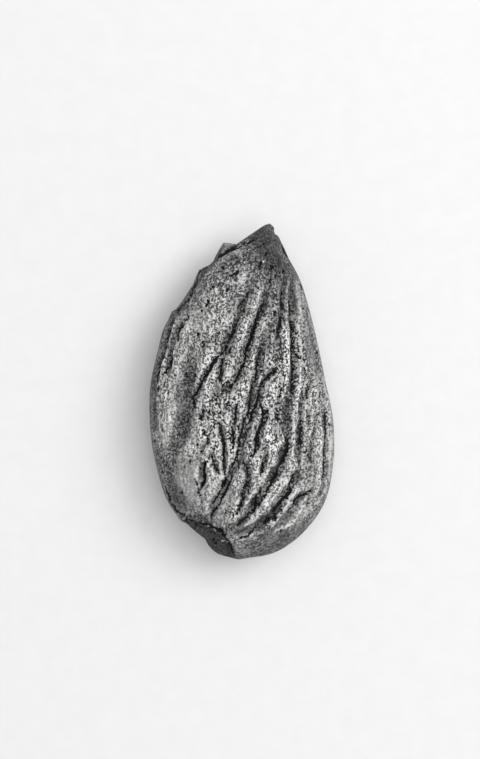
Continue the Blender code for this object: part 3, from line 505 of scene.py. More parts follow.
DARK_PATCHES = (
    ((1.35, 8.10), (0.90, 1.10), 0, 0.84),
    ((1.70, 7.30), (0.50, 0.80), 20, 0.92),
    ((-3.60, -0.10), (0.30, 0.90), 0, 0.35),
    ((3.60, 0.40), (0.30, 0.40), 0, 0.45),
    ((2.75, 0.95), (0.25, 0.40), 0, 0.45),
    ((0.40, 4.30), (0.25, 0.40), -20, 0.75),
    ((0.40, 7.60), (0.40, 0.30), 35, 0.55),
    ((2.00, 5.20), (0.40, 0.50), 0, 0.85),
    ((2.80, 5.20), (0.25, 0.50), 0, 0.45),
    ((2.00, 6.90), (0.35, 0.60), 0, 0.92),
    ((-0.40, 2.00), (0.30, 0.40), -20, 0.55),
    ((-1.20, 0.40), (0.30, 0.50), 0, 0.35),
    ((2.80, 1.00), (0.25, 0.60), 0, 0.35),
    ((2.00, 0.40), (0.25, 0.60), 0, 0.30),
    ((3.55, 2.60), (0.35, 2.40), 4, 0.38),
    ((3.75, -4.40), (0.40, 2.00), 0, 0.42),
    ((-0.80, 0.00), (0.80, 2.40), -15, 0.22),
    ((0.90, 7.30), (1.60, 0.60), 35, 0.55),
    ((1.90, 6.40), (0.90, 1.10), 15, 0.74),
    ((1.85, 4.60), (0.75, 1.50), -5, 0.70),
    ((2.60, 6.20), (0.40, 1.00), 15, 0.60),
    ((0.70, 8.25), (0.35, 0.16), 35, 1.00),
    ((-0.80, 5.60), (0.50, 0.40), 30, 0.35),
    ((2.00, 2.30), (0.42, 0.80), 0, 0.82),
    ((-0.35, 4.60), (0.32, 0.75), -25, 0.66),
    ((0.40, 5.05), (0.30, 0.75), -25, 0.68),
    ((0.40, 7.50), (0.40, 0.35), 0, 0.50),
    ((3.10, 5.00), (0.22, 0.90), 6, 0.55),
    ((-0.40, 2.70), (0.36, 0.75), -20, 0.52),
    ((-1.20, 2.80), (0.45, 0.80), -20, 0.50),
    ((0.90, 6.20), (1.80, 1.00), 20, 0.35),
    ((-1.20, -2.00), (0.35, 0.50), 0, 0.40),
    ((-2.00, -1.30), (0.45, 0.35), 0, 0.58),
    ((2.00, -2.00), (0.40, 0.45), 0, 0.62),
    ((-0.30, -7.55), (0.55, 0.30), 0, 0.62),
    ((1.20, -7.60), (0.50, 0.32), 25, 0.72),
    ((1.80, -8.40), (2.40, 0.45), 22, 0.22),
    ((1.30, 2.90), (0.60, 0.90), -10, 0.40),
    ((0.75, 5.40), (0.30, 1.00), -20, 0.50),
    ((-0.60, 6.80), (1.10, 0.40), 35, 0.55),
    ((-0.55, 6.28), (0.50, 0.20), 25, 0.70),
    ((-1.90, 5.70), (0.60, 0.50), 40, 0.35),
    ((-2.80, 4.40), (0.40, 0.40), 0, 0.32),
    ((-1.80, 4.60), (0.60, 0.60), 0, 0.26),
    ((0.40, -2.80), (0.30, 0.25), 0, 0.35),
    ((1.20, -3.60), (0.30, 0.25), 0, 0.35),
    ((-0.40, 2.00), (0.30, 0.60), -20, 0.35),
    ((-2.90, 0.30), (0.33, 1.50), 0, 0.34),
    ((-3.15, -1.80), (0.33, 1.30), 10, 0.30),
    ((-3.75, -3.80), (0.30, 0.90), -10, 0.50),
    ((-3.60, -6.20), (0.35, 1.00), 35, 0.45),
    ((-2.30, -7.00), (0.80, 0.28), -22, 0.60),
    ((2.30, -3.40), (0.28, 0.50), 0, 0.75),
    ((1.85, -4.50), (0.25, 0.45), -20, 0.70),
    ((0.80, -6.10), (0.25, 0.40), -40, 0.75),
    ((1.85, -6.60), (0.30, 0.45), -30, 0.80),
    ((1.40, -7.00), (0.45, 0.25), 25, 0.75),
    ((3.10, -5.90), (0.35, 0.25), 20, 0.65),
    ((3.20, -4.65), (0.25, 0.25), 0, 0.65),
    ((-0.10, -7.20), (0.60, 0.25), 35, 0.60),
    ((0.60, -0.40), (0.22, 0.60), 0, 0.60),
    ((2.55, -1.20), (0.25, 1.10), -3, 0.58),
    ((3.30, -1.80), (0.12, 1.80), -2, 0.62),
    ((3.15, -4.10), (0.14, 0.60), -5, 0.60),
    ((0.05, 4.50), (0.15, 1.30), -22, 0.78),
    ((1.80, 6.90), (0.60, 0.80), 10, 0.95),
    ((0.30, -3.90), (0.40, 0.35), 0, 0.45),
    ((1.55, -1.00), (0.25, 0.50), -30, 0.50),
)

# The coat's finish. Noises in features per metre, and how much longer they are along the kernel's wrinkles.
WRINKLE_STRETCH = 0.38
STREAK_STRETCH = 0.28
LINE_STRETCH = 0.40
STREAKS_PER_METRE = 3600.0
CLOUDS_PER_METRE = 1000.0
FINE_PER_METRE = 5800.0
LINES_PER_METRE = 4600.0
CRISP_PER_METRE = 8600.0
CREASE_WIDTH = 0.085  # how near the middle of its noise a wrinkle's crease starts
PIT_TONES = (0.492, 0.476)  # values of the grain's field where a pit starts and where it is full
FLECK_TONES = (0.522, 0.536)  # the same for a pale grain
LINE_EDGES = (0.028, 0.008)  # how near the middle of its noise a thin dark line starts and is full
COAT_BUMP = 0.00009
SCURF_CLUMPS = 2600.0  # clumps of grains per metre
MORE_SMALL_GRAINS = 1.8  # above 1, more of the grains are small
DUST_PER_METRE = 16000.0  # specks on the grains
SCURF_BUMP = 0.00001
TOOTH_PER_METRE = 900.0  # specks on the floor
FLOOR_TOOTH = 0.975  # how bright they are against the rest of it
NUMBER_SOCKETS = {float: "NodeSocketFloat", int: "NodeSocketInt"}


def through(rows, shares):
    """A smooth curve through the rows, read at each share of its run from 0 to 1."""
    rows = np.asarray(rows, float)
    padded = np.vstack([2 * rows[0] - rows[1], rows, 2 * rows[-1] - rows[-2]])
    place = np.clip(np.asarray(shares, float), 0, 1) * (len(rows) - 1)
    step = np.minimum(place.astype(int), len(rows) - 2)
    part = (place - step)[:, None]
    before, start, end, after = (padded[step + offset] for offset in range(4))
    return 0.5 * (
        2 * start
        + (end - before) * part
        + (2 * before - 5 * start + 4 * end - after) * part**2
        + (3 * start - before - 3 * end + after) * part**3
    )


def smoothstep(value):
    """0 below 0, 1 above 1 and a smooth rise between."""
    value = np.clip(value, 0, 1)
    return value * value * (3 - 2 * value)


def noise_at(points, size, stretch=1.0, offset=0.0):
    """Smooth noise from -1 to 1, with features of that size, drawn out along Y by the stretch."""
    scaled = points / size * (1, 1 / stretch, 1) + offset
    return np.array([noise.noise(Vector(point)) for point in scaled])


def distance_to(route, plan):
    """Each plan point's distance to the smooth route, and the nearest place along it, from 0 to 1."""
    line = through(route, np.linspace(0, 1, ROUTE_STEPS * (len(route) - 1) + 1))
    nearest = np.full(len(plan), np.inf)
    along = np.zeros(len(plan))
    for step, (start, end) in enumerate(zip(line[:-1], line[1:])):
        run = end - start
        part = np.clip((plan - start) @ run / (run @ run), 0, 1)
        away = np.linalg.norm(plan - start - part[:, None] * run, axis=1)
        closer = away < nearest
        nearest[closer] = away[closer]
        along[closer] = (step + part[closer]) / (len(line) - 1)
    return nearest, along


def near_route(plan, route, reach):
    """Indices of the plan points within the reach of the route's bounds."""
    inside = (plan > np.min(route, axis=0) - reach) & (plan < np.max(route, axis=0) + reach)
    return np.flatnonzero(inside.all(axis=1))


def bell(value):
    """1 at 0, falling to nothing by about 2 on either side."""
    return np.exp(-(value**2))


def off_ends(along, route, over):
    """0 at both ends of a route, rising to 1 over that length of it."""
    length = np.linalg.norm(np.diff(np.array(route), axis=0), axis=1).sum()
    return smoothstep(np.minimum(along, 1 - along) * length / over)


def wander(points, size, offsets):
    """Noise of that size, to move points in plan by: one pattern for X and one for Y."""
    return np.column_stack([noise_at(points, size, offset=offset) for offset in offsets])


def carve(plan, furrows, swell):
    """What furrows do at each plan point: their depth, the height of the ridges beside them, and from 0 to 1
    how much of a valley's floor and how much of its shoulder it is."""
    furrowed, ridged, floor, crested = np.zeros((4, len(plan)))
    for half_width, depth, route in furrows:
        near = near_route(plan, route, half_width * ROUTE_REACH)
        if not len(near):
            continue
        away, along = distance_to(route, plan[near])
        rise = off_ends(along, route, END_RISE * half_width)
        deep = depth * rise
        widths = away / (half_width * swell[near] * (1 + rise) / 2)
        furrowed[near] = (furrowed[near] ** 4 + (deep * bell(widths)) ** 4) ** 0.25
        ridge = CREST_SHARE * deep * bell((widths - CREST_AWAY) / CREST_WIDTH)
        ridged[near] = np.maximum(ridged[near], ridge)
        marked = smoothstep(deep / VALLEY_DEPTH)
        floor[near] = np.maximum(floor[near], marked * bell(widths / FLOOR_WIDTH))
        crested[near] = np.maximum(crested[near], marked * bell((widths - SHOULDER_AWAY) / SHOULDER_WIDTH))
    return furrowed, ridged * (1 - smoothstep(furrowed / RIDGE_ENDS)), floor, crested * (1 - floor)


def crack_open(plan, facing_up, cracks, pits=()):
    """How deep cracks and pits are at each plan point, and from -1 to 1 how far inside one's edge it is, in
    CRACK_BLUR."""
    deep, inside = np.zeros(len(plan)), np.full(len(plan), -1.0)
    wide, shallow = CRACK_VALLEY
    for half_width, route in cracks:
        near = near_route(plan, route, max(3 * wide * half_width, half_width + CRACK_BLUR))
        if not len(near):
            continue
        away, along = distance_to(route, plan[near])
        half = half_width * (CRACK_END + (1 - CRACK_END) * off_ends(along, route, CRACK_POINTED))
        widths = away / np.maximum(half, CRACK_LEAST)
        groove = bell(widths) + shallow * bell(widths / wide)
        deep[near] = np.maximum(deep[near], CRACK_DEPTH * half_width * groove)
        inside[near] = np.maximum(inside[near], (half - away / facing_up[near]) / CRACK_BLUR)
    for x, y, radius in pits:
        away = np.linalg.norm((plan - (x, y)) @ PIT_SHAPE, axis=1)
        deep = np.maximum(deep, CRACK_DEPTH * radius * bell(away / radius))
        inside = np.maximum(inside, (radius - away / facing_up) / CRACK_BLUR)
    return deep, np.clip(inside, -1, 1)


def flow_across(plan):
    """The place across the kernel that the nearest flow lines stand for, blended between them."""
    total, weights = np.zeros((2, len(plan)))
    for value, route in FLOW:
        weight = 1 / (distance_to(route, plan)[0] + FLOW_BLEND) ** 3
        total += value * weight
        weights += weight
    return total / weights


def ribs_at(shares):
    """Left edge, right edge and share of the full height at each share of the way from scar to tip."""
    left = through([rib[0] for rib in RIBS], shares)
    right = through([rib[1] for rib in RIBS], shares)
    height = through([(rib[2],) for rib in RIBS], shares)[:, 0]
    return left, right, height


def even_shares(count):
    """Shares of the way from scar to tip at which ribs lie evenly spaced."""
    shares = np.linspace(0, 1, 4001)
    left, right, height = ribs_at(shares)
    middle = np.column_stack([(left + right) / 2, CROWN_HEIGHT * height])
    steps = sum(np.linalg.norm(np.diff(line, axis=0), axis=1) for line in (left, right, middle)) / 3
    run = np.concatenate([[0], np.cumsum(steps)])
    return np.interp(np.linspace(0, run[-1], count), run, shares)


def belly_furrows():
    """Furrows that fan out from the scar under the kernel and end before the tip, with forks between them."""
    draw = random.Random(BELLY_SEED)
    furrows = []
    for number in range(BELLY_FURROWS + BELLY_FORKS):
        fork = number >= BELLY_FURROWS
        if fork:
            across = draw.uniform(-FORK_SPREAD, FORK_SPREAD)
            start = draw.uniform(*FORK_STARTS)
            end = start + draw.uniform(*FORK_LENGTHS)
            slant = draw.choice((-FORK_SLANT, FORK_SLANT))
        else:
            across = -BELLY_SPREAD + 2 * BELLY_SPREAD * (number + 0.5) / BELLY_FURROWS
            start = draw.uniform(*BELLY_STARTS)
            end = draw.uniform(*BELLY_ENDS)
            slant = draw.uniform(-BELLY_SLANT, BELLY_SLANT)
        shares = np.linspace(start, end, 4 if fork else 8)
        left, right, _ = ribs_at(shares)
        shifts = np.array([draw.uniform(-BELLY_WANDER, BELLY_WANDER) for _ in shares])
        place = across + shifts + slant * np.linspace(0, 1, len(shares))
        route = (left + right) / 2 + (right - left) / 2 * place[:, None]
        furrows.append((draw.uniform(*BELLY_HALF_WIDTH), draw.uniform(*BELLY_FURROW_DEPTH), route))
    return furrows


def belly_cracks():
    """Cracks along the middles of the furrows under the kernel, each broken into lengths."""
    draw = random.Random(BELLY_CRACK_SEED)
    cracks = []
    for _, _, route in belly_furrows():
        start = draw.uniform(0.0, 0.2)
        while start < 0.8:
            end = min(start + draw.uniform(*BELLY_CRACK_LENGTHS), 1.0)
            cracks.append((draw.uniform(*BELLY_CRACK_HALF_WIDTH), through(route, np.linspace(start, end, 4))))
            start = end + draw.uniform(*BELLY_CRACK_GAPS)
    return cracks


def ring_angles(turn):
    """Angles round a ring for turns from 0 to 1, from the left edge over the back, where points are dense."""
    over = np.minimum(turn, BACK_POINTS) / BACK_POINTS
    under = np.maximum(turn - BACK_POINTS, 0) / (1 - BACK_POINTS)
    angle = math.pi * (over + under)
    return angle + ROUND_EVENING * np.sin(2 * angle)


def smooth_body(share, angle):
    """Points of the body without its relief: each ring spans a rib from edge to edge."""
    left, right, height = ribs_at(share)
    across = -np.cos(angle)
    rise = np.sin(angle)
    power = LEFT_EDGE_POWER + (RIGHT_EDGE_POWER - LEFT_EDGE_POWER) * (across + 1) / 2
    up = np.sign(rise) * np.abs(rise) ** power
    plan = (left + right) / 2 + (right - left) / 2 * across[:, None]
    full = np.where(rise > 0, CROWN_HEIGHT, BELLY_DEPTH)
    return np.column_stack([plan, EDGE_HEIGHT + full * height * up])


def flakes(share, angle):
    """How far, and which way in plan, the torn flakes of the edges stand out."""
    sideways = np.zeros((len(share), 2))
    for side in (-1, 1):
        off_edge = np.minimum(angle, 2 * math.pi - angle) if side < 0 else np.abs(angle - math.pi)
        reach = np.zeros(len(share))
        for which, start, corner, end, height in EDGE_FLAKES:
            if which == side:
                reach += np.interp(share, (start, corner, end), (0, height, 0))
        edge = 0 if side < 0 else 1
        along = ribs_at(share + EDGE_STEP)[edge] - ribs_at(share - EDGE_STEP)[edge]
        out = np.column_stack([along[:, 1], -along[:, 0]]) * side / np.linalg.norm(along, axis=1)[:, None]
        sideways += out * (reach * np.exp(-((off_edge / FLAKE_HALF_ANGLE) ** 2)))[:, None]
    return sideways


def scar_forms(share, angle, over_edge):
    """The scar's relief, a mask of its dark stain, and one of the crack that rings it, from -1 to 1."""
    at_edge = np.interp(-np.cos(angle), (-1, 1), SCAR_REACH_AT_EDGES)
    reach = at_edge + (SCAR_REACH_ON_FACE - at_edge) * np.sin(angle) ** 2
    inside = smoothstep((reach - share) / SCAR_EDGE + 0.5)
    off_rim = smoothstep(np.abs(over_edge) / SCAR_RIM)
    lip = bell((share - reach - SCAR_LIP_AWAY * SCAR_EDGE) / SCAR_EDGE)
    crack = bell((share - reach + SCAR_CRACK_AWAY * SCAR_EDGE) / (SCAR_CRACK_WIDTH * SCAR_EDGE))
    ring = 1 - np.abs(share - reach) / (SCAR_RING * SCAR_EDGE)
    stain = smoothstep((reach + SCAR_STAIN - share) / SCAR_EDGE + 0.5)
    relief = SCAR_LIP * lip - (SCAR_SINK * inside + SCAR_CRACK * crack) * off_rim
    return relief, stain, np.clip(ring, -1, 1)


def patched(plan, patches):
    """The strongest of the soft oval patches at each plan point."""
    value = np.zeros(len(plan))
    for middle, half_sizes, turn, strength in patches:
        cos, sin = math.cos(math.radians(turn)), math.sin(math.radians(turn))
        local = (plan - middle) @ np.array([[cos, -sin], [sin, cos]]) / half_sizes
        within = PATCH_OUT - np.linalg.norm(local, axis=1)
        value = np.maximum(value, strength * smoothstep(within / PATCH_FADE))
    return value


def rim_band(off_edge):
    """1 at an edge, falling to 0 over a narrow band of the faces beside it; the angle is in radians."""
    return 1 - smoothstep((off_edge - RIM_FULL) / RIM_FALL)


def seed_coat_form():
    """Points of the coat in millimetres, a dictionary of the masks that its finish follows, coordinates in
    which its wrinkles run straight, and each point's share of the way from scar to tip."""
    shares = even_shares(RINGS + 1)
    turns = np.linspace(0, 1, RING_POINTS, endpoint=False)
    share = np.concatenate([[0], np.repeat(shares[1:-1], RING_POINTS), [1]])
    angle = np.concatenate([[0], np.tile(ring_angles(turns), RINGS - 1), [0]])
    smooth = smooth_body(share, angle)
    outward = normals_of(smooth)
    plan = smooth[:, :2]
    facing_up = np.maximum(np.abs(outward[:, 2]), LEAST_FACING_UP)

    over_edge = (smooth[:, 2] - EDGE_HEIGHT) / CROWN_HEIGHT
    back = smoothstep(over_edge / FACE_BLEND)
    belly = smoothstep(-over_edge / FACE_BLEND)
    off_spot = np.linalg.norm((plan - REST_SPOT) / REST_CLEAR, axis=1)
    under_side = belly * smoothstep((off_spot - 0.75) / 0.5)
    to_pole = smoothstep(share / POLE_CALM) * smoothstep((1 - share) / POLE_CALM)

    flake = flakes(share, angle)
    seen = VIEW_AXIS + (plan + flake - VIEW_AXIS) / (1 - over_edge[:, None] * CROWN_HEIGHT / VIEW_HEIGHT)
    wandered = seen + WOBBLE * wander(smooth, WOBBLE_SIZE, (7.3, 31.7))
    shaky = seen + CRACK_WANDER * wander(smooth, CRACK_WANDER_SIZE, (5.9, 0.0))
    swell = 1 + SWELL * noise_at(smooth, SWELL_SIZE, offset=3.1)
    deep, ridge, floor, crest = carve(wandered, FURROWS, swell)
    cracks = [(half_width, route) for half_width, routes in CRACKS.items() for route in routes]
    cracked, crack = crack_open(shaky, facing_up, cracks, PITS)
    under, under_ridge, under_floor, under_crest = carve(wandered, belly_furrows(), swell)
    under_cracked, under_crack = crack_open(wandered, facing_up, belly_cracks())
    deep, under = deep + cracked, under + under_cracked
    uneven = PUCKER * noise_at(smooth, PUCKER_SIZE, PUCKER_STRETCH) * (back + under_side)
    depth = back * (deep - ridge) + under_side * (under - under_ridge)
    scar, in_scar, scar_ring = scar_forms(share, angle, over_edge)
    skin = smooth + outward * (scar + to_pole * (uneven - depth))[:, None]
    skin[:, :2] += flake
    skin[:, :2] -= (skin.min(axis=0) + skin.max(axis=0))[:2] / 2

    # Painted shade along the left and the right edge, where the sides turn from the light; a flake that
    # stands out gets none.
    painted_edge_levels = through(PAINTED_EDGE_SHADES, share)
    off_left = np.minimum(angle, 2 * math.pi - angle)
    off_right = np.abs(angle - math.pi)
    painted_edge_shade = np.maximum(painted_edge_levels[:, 0] * rim_band(off_left), painted_edge_levels[:, 1] * rim_band(off_right))
    painted_edge_shade *= 1 - smoothstep(np.linalg.norm(flake, axis=1) / FLAKE_PALE)
    patchy = noise_at(smooth, PATCHY_SIZE, PATCHY_STRETCH, offset=12.9)
    bare = np.maximum(patched(wandered, BARE_PATCHES) * back, in_scar)
    bare = np.maximum(bare, 1 - smoothstep(np.abs(over_edge) / BARE_RIM))
    valley = np.maximum(back * floor, under_side * under_floor) * to_pole
    scurf = back * (0.62 + 0.38 * patched(wandered, SCURF_PATCHES) + 0.25 * patchy)
    scurf = scurf + (1 - back) * (0.75 + 0.5 * patchy)
    pale = np.maximum(crest * (1 - in_scar), patched(seen, PALE_PATCHES))
    grain_change = GRAIN_CHANGE * patched(wandered, GRAINY_PATCHES)
    grain_change = GRAIN_ON_BACK + grain_change - GRAIN_CHANGE * patched(wandered, SMOOTH_PATCHES)
    open_crack = np.maximum(np.where(back > 0.02, crack, -1), under_crack - 2 * (1 - under_side))
    worked = (1 - 0.7 * bare) * (1 - 0.5 * valley) * (back + under_side + (1 - back - belly) * 0.5)
    masks = {
        "crack": open_crack * to_pole + (to_pole - 1) + belly * (1 + scar_ring),
        "valley": valley,
        "ridge": np.clip(np.maximum(back * ridge, under_side * under_ridge) / RIDGE_FULL, 0, 1),
        "crest": np.maximum(back * pale, under_side * under_crest) * to_pole,
        "painted_edge_shade": np.clip(painted_edge_shade, 0, 1),
        "scurf": np.clip(scurf * (1 - bare) * (1 - 0.6 * valley) * (1 - 0.7 * painted_edge_shade), 0, 1),
        "bare": np.clip(bare, 0, 1),
        "grainy": np.clip(GRAIN_UNDER + back * grain_change, 0, 1),
        "shade": np.clip(patched(wandered, DARK_PATCHES) * back, 0, 1),
        "scar": in_scar,
        "worked": np.clip(worked, 0, 1),
    }
    across = back * (0.8 * flow_across(plan) + 0.4 * plan[:, 0]) - (1 - back) * 5 * np.cos(angle)
    straight = np.column_stack([across, smooth[:, 2] * 0.5, share * 18]) * MM
    return skin, masks, straight, share


def coat_faces():
    """Four-sided faces between the rings and a fan at each pole, all facing outwards."""
    rows = np.arange(RINGS - 2)[:, None] * RING_POINTS + 1
    here = np.arange(RING_POINTS)
    after = (here + 1) % RING_POINTS
    above = rows + RING_POINTS
    quads = np.stack([rows + here, rows + after, above + after, above + here], axis=2)
    last = 1 + (RINGS - 2) * RING_POINTS
    tip = last + RING_POINTS
    start_fan = np.column_stack([np.zeros_like(here), 1 + after, 1 + here])
    end_fan = np.column_stack([np.full_like(here, tip), last + here, last + after])
    return quads.reshape(-1, 4).tolist() + start_fan.tolist() + end_fan.tolist()


def normals_of(points):
    """Outward normals of the coat's grid."""
    mesh = bpy.data.meshes.new("coat_without_relief")
    mesh.from_pydata(points.tolist(), [], coat_faces())
    normals = np.empty(len(points) * 3)
    mesh.vertices.foreach_get("normal", normals)
    bpy.data.meshes.remove(mesh)
    return normals.reshape(-1, 3)


def store(mesh, name, values, kind="FLOAT"):
    """Keeps a value at each point of the mesh, under that name."""
    layer = mesh.attributes.new(name, kind, "POINT")
    layer.data.foreach_set("value" if kind == "FLOAT" else "vector", np.ravel(values))


def add_coat_map(mesh, share):
    """A UV map that is straight round and along the kernel, with its seam at the left edge."""
    corners = np.empty(len(mesh.loops), int)
    mesh.loops.foreach_get("vertex_index", corners)
    column = np.where((corners == 0) | (corners == len(share) - 1), -1, (corners - 1) % RING_POINTS)
    totals = np.empty(len(mesh.polygons), int)
    mesh.polygons.foreach_get("loop_total", totals)
    face = np.repeat(np.arange(len(totals)), totals)
    crosses = np.zeros(len(totals), bool)
    np.logical_or.at(crosses, face, column == RING_POINTS - 1)
    across = np.where((column == 0) & crosses[face], RING_POINTS, column).astype(float)
    widest = np.zeros(len(totals))
    np.maximum.at(widest, face, across)
    across = np.where(column < 0, widest[face] - 0.5, across)
    flat = np.column_stack([across / RING_POINTS, share[corners]])
    mesh.uv_layers.new(name="coat").data.foreach_set("uv", flat.ravel())


def new_tree(name, kind, inputs, outputs):
    """A node group. Each of its sockets is given by its type, or by the number that it starts with."""
    tree = bpy.data.node_groups.new(name, kind)
    for in_out, sockets in (("INPUT", inputs), ("OUTPUT", outputs)):
        for label, given in sockets.items():
            socket_type = NUMBER_SOCKETS.get(type(given), given)
            socket = tree.interface.new_socket(label, in_out=in_out, socket_type=socket_type)
            if socket_type != given:
                socket.default_value = given
    return tree


class Value:
    """A node's output. Each sign between it and another value or a number adds a Math node."""

    def __init__(self, wire, socket):
        self.wire, self.socket = wire, socket

    def __add__(self, other):
        return self.wire.math("ADD", self, other)

    def __sub__(self, other):
        return self.wire.math("SUBTRACT", self, other)

    def __rsub__(self, other):
        return self.wire.math("SUBTRACT", other, self)

    def __mul__(self, other):
        return self.wire.math("MULTIPLY", self, other)

    def __truediv__(self, other):
        return self.wire.math("DIVIDE", self, other)

    def __rtruediv__(self, other):
        return self.wire.math("DIVIDE", other, self)


class Wiring:
    """Adds nodes to a tree and joins them up in one call each."""

    def __init__(self, tree):
        self.tree = tree

    def feed(self, node, inputs):
        """Sets a node's inputs, each to a constant or to another node's value."""
        for name, given in dict(inputs).items():
            if isinstance(given, Value):
                self.tree.links.new(given.socket, node.inputs[name])
            else:
                node.inputs[name].default_value = given

    def node(self, kind, inputs=(), **settings):
        """A new node with those inputs and settings."""
        made = self.tree.nodes.new(kind)
        for name, setting in settings.items():
            setattr(made, name, setting)
        self.feed(made, inputs)
        return made

    def outputs(self, kind, inputs=()):
        """The outputs of a new node, by name."""
        return {socket.name: Value(self, socket) for socket in self.node(kind, inputs).outputs}

    def value(self, kind, inputs=(), output=0, **settings):
        """One output of a new node, by its number or name."""
        return Value(self, self.node(kind, inputs, **settings).outputs[output])

    def math(self, operation, *values, clamp=False):
        return self.value("ShaderNodeMath", enumerate(values), operation=operation, use_clamp=clamp)

    def larger(self, first, second):
        return self.math("MAXIMUM", first, second)

    def stretched(self, vector, factors):
        return self.value("ShaderNodeVectorMath", {0: vector, 1: factors}, operation="MULTIPLY")

    def scaled(self, vector, factor):
        return self.value("ShaderNodeVectorMath", {0: vector, "Scale": factor}, operation="SCALE")

    def ramp(self, value, low, high, to_low=0.0, to_high=1.0):
        """The value, mapped smoothly from low..high to to_low..to_high."""
        inputs = {"Value": value, "From Min": low, "From Max": high, "To Min": to_low, "To Max": to_high}
        return self.value("ShaderNodeMapRange", inputs, interpolation_type="SMOOTHSTEP")

    def noise(self, vector, per_metre, detail=2.0, roughness=0.5, seed=0.0):
        inputs = {"Vector": vector, "W": seed, "Scale": per_metre, "Detail": detail, "Roughness": roughness}
        return self.value("ShaderNodeTexNoise", inputs, noise_dimensions="4D")

    def mix(self, factor, first, second):
        """One colour laid over another."""
        return self.value("ShaderNodeMix", {0: factor, 6: first, 7: second}, 2, data_type="RGBA")

    def random(self, seed, low=None, high=None):
        """A random number from 0 to 1 for each point or grain, or a random vector between two."""
        kind = "FunctionNodeRandomValue"
        if low is None:
            return self.value(kind, {"Seed": seed}, 1)
        return self.value(kind, {0: low, 1: high, "Seed": seed}, data_type="FLOAT_VECTOR")

    def kept(self, name, data_type="FLOAT"):
        """A value that is kept on the mesh, for Geometry Nodes."""
        return self.value("GeometryNodeInputNamedAttribute", {"Name": name}, "Attribute", data_type=data_type)

    def finish(self, geometry, material):
        """Ends a tree in plain geometry with that material."""
        real = self.value("GeometryNodeRealizeInstances", {"Geometry": geometry})
        done = self.value("GeometryNodeSetMaterial", {"Geometry": real, "Material": material})
        self.node("NodeGroupOutput", {"Geometry": done})


def coat_relief_tree():
    """Raises wrinkles that run with the furrows, then grain, along the skin's normals."""
    inputs = {
        "Geometry": "NodeSocketGeometry",
        "Wrinkle Height": 0.00005,
        "Wrinkle Size": 0.0003,
        "Grain Height": 0.00003,
        "Grain Size": 0.00012,
        "Seed": 0.0,
        "Material": "NodeSocketMaterial",
    }
    tree = new_tree("Coat relief", "GeometryNodeTree", inputs, {"Geometry": "NodeSocketGeometry"})
    wire = Wiring(tree)
    given = wire.outputs("NodeGroupInput")
    straight, worked = wire.kept("straight", "FLOAT_VECTOR"), wire.kept("worked")
    drawn_out = wire.stretched(straight, (1.0, 1.0, WRINKLE_STRETCH))
    folds = wire.noise(drawn_out, 1.0 / given["Wrinkle Size"], 2.0, 0.5, given["Seed"])
    fold = folds - 0.5
    crease = wire.ramp(wire.math("ABSOLUTE", fold), 0.0, CREASE_WIDTH, 1.0, 0.0)
    crease = crease * crease * worked
    wrinkle = (fold * 1.6 - crease * 0.8) * given["Wrinkle Height"]
    place = wire.value("GeometryNodeInputPosition")
    cells = {"Vector": place, "W": given["Seed"], "Scale": 1.0 / given["Grain Size"]}
    lumps = wire.value("ShaderNodeTexVoronoi", cells, "Distance", voronoi_dimensions="4D")
    grain = (0.45 - lumps) * given["Grain Height"] * wire.ramp(wire.kept("scurf"), 0.0, 0.9, 0.35, 1.3)
    height = (wrinkle + grain) * worked
    around = wire.value("GeometryNodeBlurAttribute", {0: height, "Iterations": 5})
    geometry = given["Geometry"]
    raised = (height - around) / given["Grain Height"]
    for name, value in (("height", height), ("raised", raised), ("crease", crease), ("fold", fold)):
        keeping = {"Geometry": geometry, "Name": name, "Value": value}
        geometry = wire.value("GeometryNodeStoreNamedAttribute", keeping)
    offset = wire.scaled(wire.value("GeometryNodeInputNormal"), wire.kept("height"))
    moved = wire.value("GeometryNodeSetPosition", {"Geometry": geometry, "Offset": offset})
    wire.finish(moved, given["Material"])
    return tree


